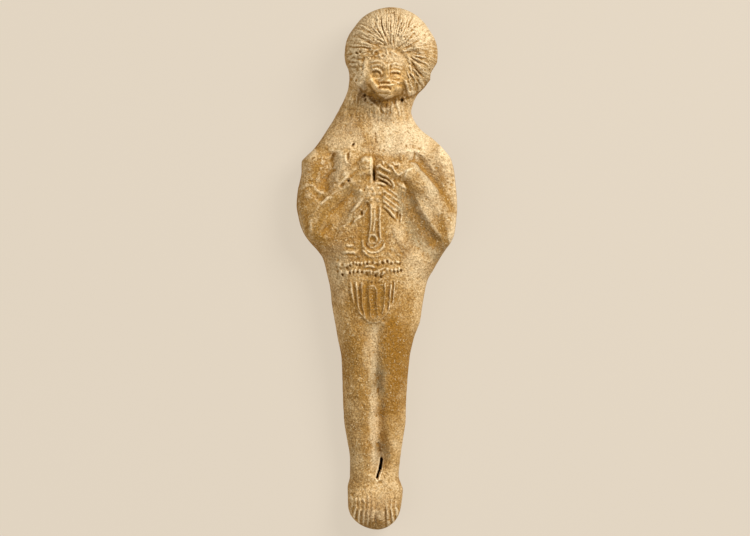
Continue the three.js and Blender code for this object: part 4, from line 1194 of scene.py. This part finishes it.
stainsAndPaintedLight = {  # place, radii in mm, strength
    "brown": (
        ((-2.6, 44), (9, 9), 1.0), ((-37.3, 67), (6, 12), 0.5), ((-15, 35.4), (5, 16), 0.7),
        ((-8.8, 29.1), (5, 10), 0.6), ((12.8, 35.4), (7, 16), 1.0), ((9.8, 27.7), (4.5, 12), 0.8),
        ((-6.3, 19.1), (3, 14), 0.45), ((8.5, 19.1), (4, 14), 0.45), ((-6.3, 58.4), (2.2, 9), 0.8),
        ((-2.5, 55.6), (1.0, 1.0), 1.0), ((4.8, 58.4), (2, 8), 0.5), ((4.2, 84.3), (4.6, 2.2), 0.75),
        ((12.8, 84.4), (1.6, 1.8), 0.6), ((-1.4, 83.7), (2.0, 2.4), 0.9), ((-0.4, 87.3), (1.8, 1.3), 1.0),
        ((11.7, 87.2), (1.8, 1.2), 0.9), ((4.8, 87), (1.4, 3), 0.8), ((-3.3, 84.9), (1.4, 2.4), 0.8),
        ((3.6, 67.4), (5, 5), 0.5), ((-11.3, 67), (5, 5), 0.5), ((-42.3, 60.3), (5, 12), 0.6),
        ((-31.7, 56.5), (5, 6), 0.4), ((-2.6, 49.8), (8, 4), 0.5), ((-25.5, 45.6), (4, 9), 0.15),
        ((-15, 77.6), (5, 8), 0.15), ((42.6, 56.5), (4, 5), 0.4),
    ),
    "rust": (
        ((14.1, 34.4), (5, 11), 0.9), ((10.4, 29.6), (4, 7), 0.6), ((7.3, 20), (2.5, 8), 0.5),
        ((6, 16.2), (2.5, 6), 0.6), ((-7, 17.2), (2, 7), 0.6), ((-11.9, 36.4), (4, 8), 0.3),
        ((-7, 22.9), (2.5, 7), 0.4), ((-2, 43.4), (6, 8), 0.5), ((4.2, 84.3), (3.6, 1.8), 0.5),
        ((5.4, 86.6), (1.6, 2.4), 0.6), ((-0.8, 87.4), (1.2, 0.9), 0.7), ((11.7, 87.2), (1.2, 0.8), 0.6),
    ),
    # grey: grey patches, and painted shadow under the chin
    "grey": (
        ((0.5, 28.7), (3.2, 8), 0.9), ((-15, 20), (4, 10), 0.25), ((-14.4, 13.3), (5, 10), 0.4),
        ((2.3, 15.3), (3, 5), 0.7), ((34.5, 67), (3, 7), 0.3), ((-2, 80.9), (8, 4), 0.5),
        ((-15, 62.2), (4, 6), 0.5), ((-1.4, 59), (1.6, 7), 0.4), ((-2.6, 38.7), (4, 3), 0.5),
        ((29.6, 86.6), (4, 5), 0.6), ((-22.4, 50.2), (4, 7), 0.4), ((-13.2, 89.7), (4, 6), 0.4),
    ),
    # dark: dark patches, and painted shadow under the chin
    "dark": (
        ((4.2, 82.2), (4, 1.6), 1.0), ((-6.3, 58.4), (1.8, 8), 0.35), ((-8.2, 61.7), (3, 4), 0.6),
        ((-13.2, 90.1), (4, 5), 0.3),
    ),
    # pale: pale patches, and painted highlights on the crown, the right chest, the brow and the valley
    # inside the left upper arm
    "pale": (
        ((17.8, 95.8), (12, 8), 0.95), ((6, 96.6), (9, 8), 0.85), ((-8.8, 95.1), (6, 6), 0.5),
        ((12.8, 80.5), (3, 5), 0.5), ((20.9, 75.7), (14, 8), 1.0), ((10.4, 90.4), (5, 3), 0.7),
        ((-2, 21), (1.6, 14), 0.4), ((-5.1, 34.4), (2.4, 7), 0.3), ((33.3, 63.2), (4, 9), 0.6),
        ((1.1, 5.7), (6, 5), 0.3), ((-23.7, 69.2), (3.5, 7), 0.5), ((-18.1, 76.4), (7, 4), 0.4),
        ((11.6, 7.6), (5, 6), 0.2), ((-1.4, 3), (8, 2.4), 0.45), ((12.8, 56.7), (3, 5), 0.35),
        ((39.5, 71.8), (6, 7), 0.55), ((-24.9, 49.4), (4, 9), 0.3), ((-1.4, 13.3), (2, 6), 0.5),
        ((-8.8, 85.3), (2.5, 4), 0.6), ((24, 79.5), (4, 6), 0.5), ((25.9, 51.3), (6, 8), 0.5),
        ((0.5, 89.3), (4.5, 2.2), 0.4), ((11, 89.5), (4.5, 3.4), 0.7),
    ),
    # honey: the warm colour of the lips, and painted light that brightens the lower face where it slopes
    # away from the lamp
    "honey": (
        ((4.8, 84.5), (6.4, 3.4), 0.95), ((-2.6, 85.5), (3.0, 3.6), 0.8), ((12.8, 84.5), (2.6, 3.4), 0.9),
        ((5.4, 86.8), (2.6, 4), 0.7), ((11.9, 87.1), (3.6, 2.8), 0.8), ((-0.2, 87.2), (3.0, 2.2), 0.35),
    ),
}


stainAndPaintedLightBands = {  # line, half width in mm, strength
    # brown bands: brown stains, and painted shade along the jaw and below both forearms
    "brown": (
        (((-4.5, 88.8), (-0.2, 89.4), (4.8, 88.7)), 1.1, 0.8),
        (((7.9, 88.5), (11.6, 89), (15.9, 88.4)), 1.0, 0.6), (((5.4, 88.5), (5.2, 85.8)), 1.3, 0.9),
        (((32, 64), (37, 60.9), (40.1, 57.8)), 2.4, 0.5),
        (((20.9, 65.9), (25.9, 62.4), (33.3, 59), (40.1, 55.5)), 1.9, 0.7),
        (((-16.3, 80.1), (-20, 77.8), (-27.4, 75.1)), 4, 0.12),
        (((-15, 67.4), (-8.8, 66.3), (-3.3, 67.4)), 1.8, 0.7),
        (((39.5, 64), (44.4, 60.3), (43.8, 55.5)), 2.2, 0.4),
        (((-37.3, 72.4), (-41.6, 67), (-44.7, 62.2), (-42.3, 56.5)), 4.5, 0.6),
        (((-19.3, 65.1), (-29.9, 60.7), (-37.3, 55.9)), 3.6, 0.95),
        (((-6.3, 61.7), (-7.6, 58.4), (-8.8, 54.8)), 1.8, 0.8),
        (((-5.7, 85.7), (-3.3, 83.7), (1.1, 82.2), (6, 81.7), (12.2, 82.8), (15.3, 84.3)), 2.4, 0.9),
        (((2.3, 62.6), (6, 60.9), (10.4, 59.2)), 1.6, 0.6),
    ),
    "rust": (
        (((7.3, 39.2), (11.6, 35.4), (11.6, 28.7), (7.3, 22.9)), 4.8, 1.0),
    ),
    # grey bands: painted shadow in the valleys above and below the right forearm and inside the left upper
    # arm, and a grey patch by the left hand
    "grey": (
        (((22.8, 71.5), (29.6, 68.6), (36.4, 64.7)), 2.0, 0.9),
        (((17.2, 63.6), (19.7, 61.3), (23.4, 58.8), (28.3, 56.1), (37, 53.8)), 3.8, 1.0),
        (((-27.4, 71.3), (-26.2, 68.6), (-31.1, 66.3)), 2.2, 0.3),
        (((-19.3, 65.1), (-12.5, 64), (-16.3, 61.3)), 2.4, 0.5),
    ),
    # dark bands: painted shadow under the chin and in the valleys above and below the right forearm
    "dark": (
        (((1.7, 82.4), (4.8, 80.9), (6, 78.7)), 2.2, 0.9),
        (((22.1, 60.7), (25.2, 59), (30.2, 56.7), (38.9, 54.2)), 3.0, 1.0),
        (((24.6, 70.5), (30.2, 68.6), (35.8, 65.9)), 0.9, 0.5),
    ),
    # pale bands: a painted highlight down the inner side of the left leg, and pale patches
    "pale": (
        (((-7.9, 88.5), (-8.8, 86.6), (-8.2, 84.7)), 1.4, 0.8),
        (((-1.4, 38.3), (-2, 34), (-2.6, 29.1)), 1.5, 0.45),
        (((-2.6, 25.8), (-2, 19.1), (-1.4, 12.9)), 1.3, 0.6),
        (((-28.6, 74.7), (-19.3, 74.1), (-11.3, 74.9)), 2.4, 0.5),
    ),
    # honey band: the lip's warm colour with painted light
    "honey": (
        (((-4.9, 86.3), (-2.6, 85.7), (0.3, 84.8)), 1.4, 0.9),
    ),
}


tornEdge = ((0.35, 2.6, 40), (0.2, 1.1, 50))  # share, cell in mm and first seed of a noise


def strandsAt(x, y):
    # 1 on the hairdress, 0 on the face and the neck
    share = np.hypot(x - hairCentre[0], y - hairCentre[1]) / hairRadius
    ratio = faceFrame(x, y)[2]
    aboveNeck = smoothStep(-0.75, -0.45, (y - hairCentre[1]) / hairRadius)
    return smoothStep(1.06, 0.96, share) * smoothStep(0.98, 1.16, ratio) * aboveNeck


def stainAndPaintedLightMasks(x, y):
    # soft ovals and bands with an edge that noise breaks up
    masks = {}
    for seed, name in enumerate(stainsAndPaintedLight):
        total = np.zeros(x.shape)
        torn = sum(share * lumps(x, y, cell, first + seed) for share, cell, first in tornEdge)
        for place, radii, strength in stainsAndPaintedLight[name]:
            middle = at(*place)
            distance = np.hypot((x - middle[0]) / radii[0], (y - middle[1]) / radii[1])
            total = np.maximum(total, strength * smoothStep(1.25, 0.25, distance + torn))
        for line, half, strength in stainAndPaintedLightBands[name]:
            distance = fromLine(x, y, curve(line, between=3))[0]
            total = np.maximum(total, strength * smoothStep(1.25, 0.25, distance / half + torn))
        masks[name] = total
    return masks


# Material

clayLook = {
    "noises": (  # scale, detail, roughness and swirl of the mottle, patches, streaks, grain and flecks
        (70, 2, 0.5), (240, 2.5, 0.6, 0.8), (850, 2, 0.6, 1.5), (1900, 1.5, 0.6), (800, 1, 0.5, 0.6),
    ),
    "noiseShares": (0.36, 0.3, 0.2, 0.14),
    "toneRange": (0.38, 0.62),
    "strands": (2300, 2, 0.6, 0.5),
    # painted highlight and painted shade of the hair strands
    "strandLightAndShade": (("hollow", 0.45, 0.35, 0.45), ("ridge", 0.53, 0.63, 0.4)),  # colour, level, strength
    "smallPits": (1300, 2, 0.5),
    # relief ranges: rubbed ridges with a painted highlight, hollows with dirt and painted shade, painted
    # shadow in the deepest cuts
    "rubbedAndHighlight": (0.06, 0.28, 0.65),  # relief in mm where it begins and is whole, strength
    "dirtAndShade": (-0.02, -0.24, 0.85),
    "shadow": (-0.6, -1.15, 0.95),
    "grainShades": ((0.75, 0.715, 0.64), (1.21, 1.21, 1.19)),
    "tones": ((0.0, (0.285, 0.148, 0.040)), (0.35, (0.38, 0.218, 0.075)), (0.65, (0.47, 0.293, 0.118)),
              (1.0, (0.60, 0.41, 0.205))),
    "parting": (9.1, 92.2),  # where the strands of the hair part
    # hollow: dirt in the carved hollows, with painted shade
    "hollow": (0.33, 0.165, 0.032),
    # ridge: ridges rubbed pale, with a painted highlight
    "ridge": (0.90, 0.72, 0.46),
    # brown: colour of brown stains and of painted shade
    "brown": (0.31, 0.157, 0.028),
    "rust": (0.265, 0.122, 0.016),
    # grey and dark: colours of real patches and of painted shadow
    "grey": (0.28, 0.195, 0.095),
    "dark": (0.21, 0.115, 0.035),
    # pale: colour of pale clay and of painted highlights
    "pale": (0.70, 0.535, 0.325),
    # honey: warm colour of the lips, brightened as painted light
    "honey": (0.73, 0.46, 0.18),
    "grit": (0.88, 0.70, 0.42),
    "pits": (0.15, 0.075, 0.018),
    # deep: painted shadow, nearly black, in the deepest cuts and slits
    "deep": (0.06, 0.032, 0.01),
    "roughness": 0.93,
    "specular": 0.08,
    "bump": 0.9,
    "bumpDepth": 0.0003,
}


class Nodes:
    # short ways to add the nodes of a material
    def __init__(self, material):
        material.use_nodes = True
        self.tree = material.node_tree
        self.tree.nodes.clear()

    def new(self, kind, inputs=(), **settings):
        # an input is either a value or the socket that feeds it
        node = self.tree.nodes.new(kind)
        for name, value in settings.items():
            setattr(node, name, value)
        for name, value in dict(inputs).items():
            if isinstance(value, bpy.types.NodeSocket):
                self.tree.links.new(value, node.inputs[name])
            else:
                node.inputs[name].default_value = value
        return node

    def math(self, operation, a, b):
        return self.new("ShaderNodeMath", {0: a, 1: b}, operation=operation).outputs[0]

    def range(self, value, low, high, top=1.0):
        # smooth rise from 0 at low to the top value at high
        inputs = {0: value, 1: low, 2: high, 3: 0.0, 4: top}
        return self.new("ShaderNodeMapRange", inputs, interpolation_type="SMOOTHSTEP").outputs[0]

    def mix(self, factor, a, b, blend="MIX"):
        # colour a where the factor is 0, b where it is 1
        node = self.new("ShaderNodeMix", data_type="RGBA", blend_type=blend)
        for socket, value in zip((node.inputs[0], node.inputs[6], node.inputs[7]), (factor, a, b)):
            if isinstance(value, bpy.types.NodeSocket):
                self.tree.links.new(value, socket)
            else:
                socket.default_value = (*value, 1) if isinstance(value, tuple) else value
        return node.outputs[2]

    def noise(self, place, scale, detail, rough, swirl=0.0):
        sizes = {"Scale": scale, "Detail": detail, "Roughness": rough, "Distortion": swirl}
        return self.new("ShaderNodeTexNoise", {"Vector": place, **sizes}).outputs[0]

    def attribute(self, name):
        return self.new("ShaderNodeAttribute", attribute_name=name).outputs["Fac"]


def clayMaterial():
    # mottled tones, then stains with painted light and shade, rubbed ridges with a painted highlight,
    # dirty hollows with painted shade, strands painted as light and shade, flecks, pits and a fine bump
    material = bpy.data.materials.new("buffTerracotta")
    n = Nodes(material)
    place = n.new("ShaderNodeTexCoord").outputs["Object"]
    mottle, patch, streak, grain, fleck = (n.noise(place, *sizes) for sizes in clayLook["noises"])
    # strands of the hair, painted as light lines with shade between: a noise over the turn about the
    # parting, drawn out along the way from it
    split = n.new("ShaderNodeSeparateXYZ", {0: place}).outputs
    parting = at(*clayLook["parting"]) / 1000
    fromX, fromY = (n.math("SUBTRACT", split[k], parting[k]) for k in (0, 1))
    turn = n.math("ARCTAN2", fromX, fromY)
    squares = n.math("MULTIPLY", fromX, fromX), n.math("MULTIPLY", fromY, fromY)
    way = n.math("SQRT", n.math("ADD", *squares), 0)
    drawn = {0: n.math("MULTIPLY", turn, 0.01), 1: n.math("MULTIPLY", way, 0.16)}
    drawnOut = n.new("ShaderNodeCombineXYZ", drawn)
    strand = n.noise(drawnOut.outputs[0], *clayLook["strands"])
    onHair = n.math("MULTIPLY", n.attribute("strands"), n.range(way, 0.002, 0.006))
    tone = 0.0
    for noise, share in zip((mottle, patch, streak, grain), clayLook["noiseShares"]):
        tone = n.math("ADD", n.math("MULTIPLY", noise, share), tone)
    ramp = n.new("ShaderNodeValToRGB", {0: n.range(tone, *clayLook["toneRange"])})
    elements = ramp.color_ramp.elements
    while len(elements) < len(clayLook["tones"]):
        elements.new(0.5)
    for element, (position, colour) in zip(elements, clayLook["tones"]):
        element.position, element.color = position, (*colour, 1)
    colour = ramp.outputs[0]
    # stain colours, with the painted shadow and painted highlights that the masks also hold
    for name in stainsAndPaintedLight:
        broken = n.math("MULTIPLY", n.attribute(name), n.range(streak, 0.2, 0.5, 0.95))
        colour = n.mix(broken, colour, clayLook[name])
    # ridges are rubbed pale and carry a painted highlight, less so where stained or painted shaded;
    # hollows hold dirt and painted shade, and the deepest are painted nearly black as shadow
    relief = n.attribute("relief")
    brown, grey = n.math("POWER", n.attribute("brown"), 2.0), n.math("MULTIPLY", n.attribute("grey"), 0.7)
    clearOfStainAndShade = n.math("SUBTRACT", 1.0, n.math("MULTIPLY", n.math("MAXIMUM", brown, grey), 0.9))
    ridge = n.math("MULTIPLY", n.range(relief, *clayLook["rubbedAndHighlight"]), clearOfStainAndShade)
    colour = n.mix(ridge, colour, clayLook["ridge"])
    colour = n.mix(n.range(relief, *clayLook["dirtAndShade"]), colour, clayLook["hollow"])
    colour = n.mix(n.range(relief, *clayLook["shadow"]), colour, clayLook["deep"])
    # painted highlight along the strands and painted shade between them
    for name, *levels in clayLook["strandLightAndShade"]:
        colour = n.mix(n.math("MULTIPLY", onHair, n.range(strand, *levels)), colour, clayLook[name])
    # light flecks along the middle level of a noise, as short curved lines, and small dark pits
    line = n.math("ABSOLUTE", n.math("SUBTRACT", fleck, 0.5), 0)
    flecks = n.math("MULTIPLY", n.range(line, 0.05, 0.0), n.range(streak, 0.5, 0.62, 0.5))
    pits = n.range(n.noise(place, *clayLook["smallPits"]), 0.34, 0.26, 0.7)
    shade = n.range(grain, 0.3, 0.7)
    colour = n.mix(1.0, colour, n.mix(shade, *clayLook["grainShades"]), "MULTIPLY")
    colour = n.mix(pits, colour, clayLook["pits"])
    colour = n.mix(flecks, colour, clayLook["grit"])
    height = n.math("ADD", n.math("ADD", grain, streak), n.math("MULTIPLY", flecks, 0.3))
    height = n.math("ADD", height, n.math("MULTIPLY", n.math("MULTIPLY", onHair, strand), 1.2))
    sizes = {"Strength": clayLook["bump"], "Distance": clayLook["bumpDepth"]}
    bump = n.new("ShaderNodeBump", {"Height": height, **sizes})
    shader = n.new("ShaderNodeBsdfPrincipled", {
        "Base Color": colour,
        "Roughness": clayLook["roughness"],
        "Specular IOR Level": clayLook["specular"],
        "Normal": bump.outputs[0],
    })
    n.new("ShaderNodeOutputMaterial", {"Surface": shader.outputs[0]})
    return material


# Floor, light and camera

studio = {
    "floorSize": 3.0,
    "floorColour": (0.727, 0.636, 0.516),
    "floorGlow": 0.85,
    "keyFrom": (0.62, 0.5, 0.75),
    "keySize": 0.55,
    "keyPower": 15,
    "fillFrom": (-0.7, -0.25, 0.8),
    "fillSize": 1.0,
    "fillPower": 5,
    "worldColour": (0.80, 0.78, 0.75),
    "worldStrength": 0.42,
    "lens": 180,
    "sensorWidth": 36,
    "frameWidth": 0.2371,  # seen across the picture at the rim of the figurine
    "frameHeight": 0.0075,
    "aim": (-0.0006, 0.0003),
}


def aimedLight(name, place, size, power):
    # square lamp aimed at the origin, tipped by its angle from the upright and turned round with it
    light = bpy.data.lights.new(name, "AREA")
    light.size, light.energy = size, power
    lamp = bpy.data.objects.new(name, light)
    lamp.location = place
    x, y, z = place
    lamp.rotation_euler = (math.atan2(math.hypot(x, y), z), 0, math.atan2(x, -y))
    bpy.context.collection.objects.link(lamp)


def buildStudio():
    # a pale floor that glows a little, two lamps, an even sky and the overhead camera
    half = studio["floorSize"] / 2
    mesh = bpy.data.meshes.new("floorSheet")
    corners = [(-half, -half, 0), (half, -half, 0), (half, half, 0), (-half, half, 0)]
    mesh.from_pydata(corners, [], [(0, 1, 2, 3)])
    floor = bpy.data.objects.new("floor", mesh)
    bpy.context.collection.objects.link(floor)
    material = bpy.data.materials.new("paleFloor")
    n = Nodes(material)
    shader = n.new("ShaderNodeBsdfPrincipled", {
        "Base Color": (*(c * (1 - studio["floorGlow"]) for c in studio["floorColour"]), 1),
        "Roughness": 1.0,
        "Specular IOR Level": 0.0,
        "Emission Color": (*studio["floorColour"], 1),
        "Emission Strength": studio["floorGlow"],
    })
    n.new("ShaderNodeOutputMaterial", {"Surface": shader.outputs[0]})
    mesh.materials.append(material)

    aimedLight("keyLight", studio["keyFrom"], studio["keySize"], studio["keyPower"])
    aimedLight("fillLight", studio["fillFrom"], studio["fillSize"], studio["fillPower"])
    world = bpy.data.worlds.new("studioAir")
    world.use_nodes = True
    background = world.node_tree.nodes["Background"]
    background.inputs[0].default_value = (*studio["worldColour"], 1)
    background.inputs[1].default_value = studio["worldStrength"]
    bpy.context.scene.world = world

    camera = bpy.data.cameras.new("overhead")
    camera.lens, camera.sensor_width = studio["lens"], studio["sensorWidth"]
    distance = studio["frameWidth"] * studio["lens"] / studio["sensorWidth"]
    eye = bpy.data.objects.new("overhead", camera)
    eye.location = (*studio["aim"], studio["frameHeight"] + distance)
    bpy.context.collection.objects.link(eye)
    bpy.context.scene.camera = eye
    bpy.context.scene.view_settings.view_transform = "Standard"


buildStudio()
print("studio ready")
figurine = buildFigurine()
figurine.data.materials.append(clayMaterial())
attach(figurine, "root")
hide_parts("figurine")
print("clay material set")
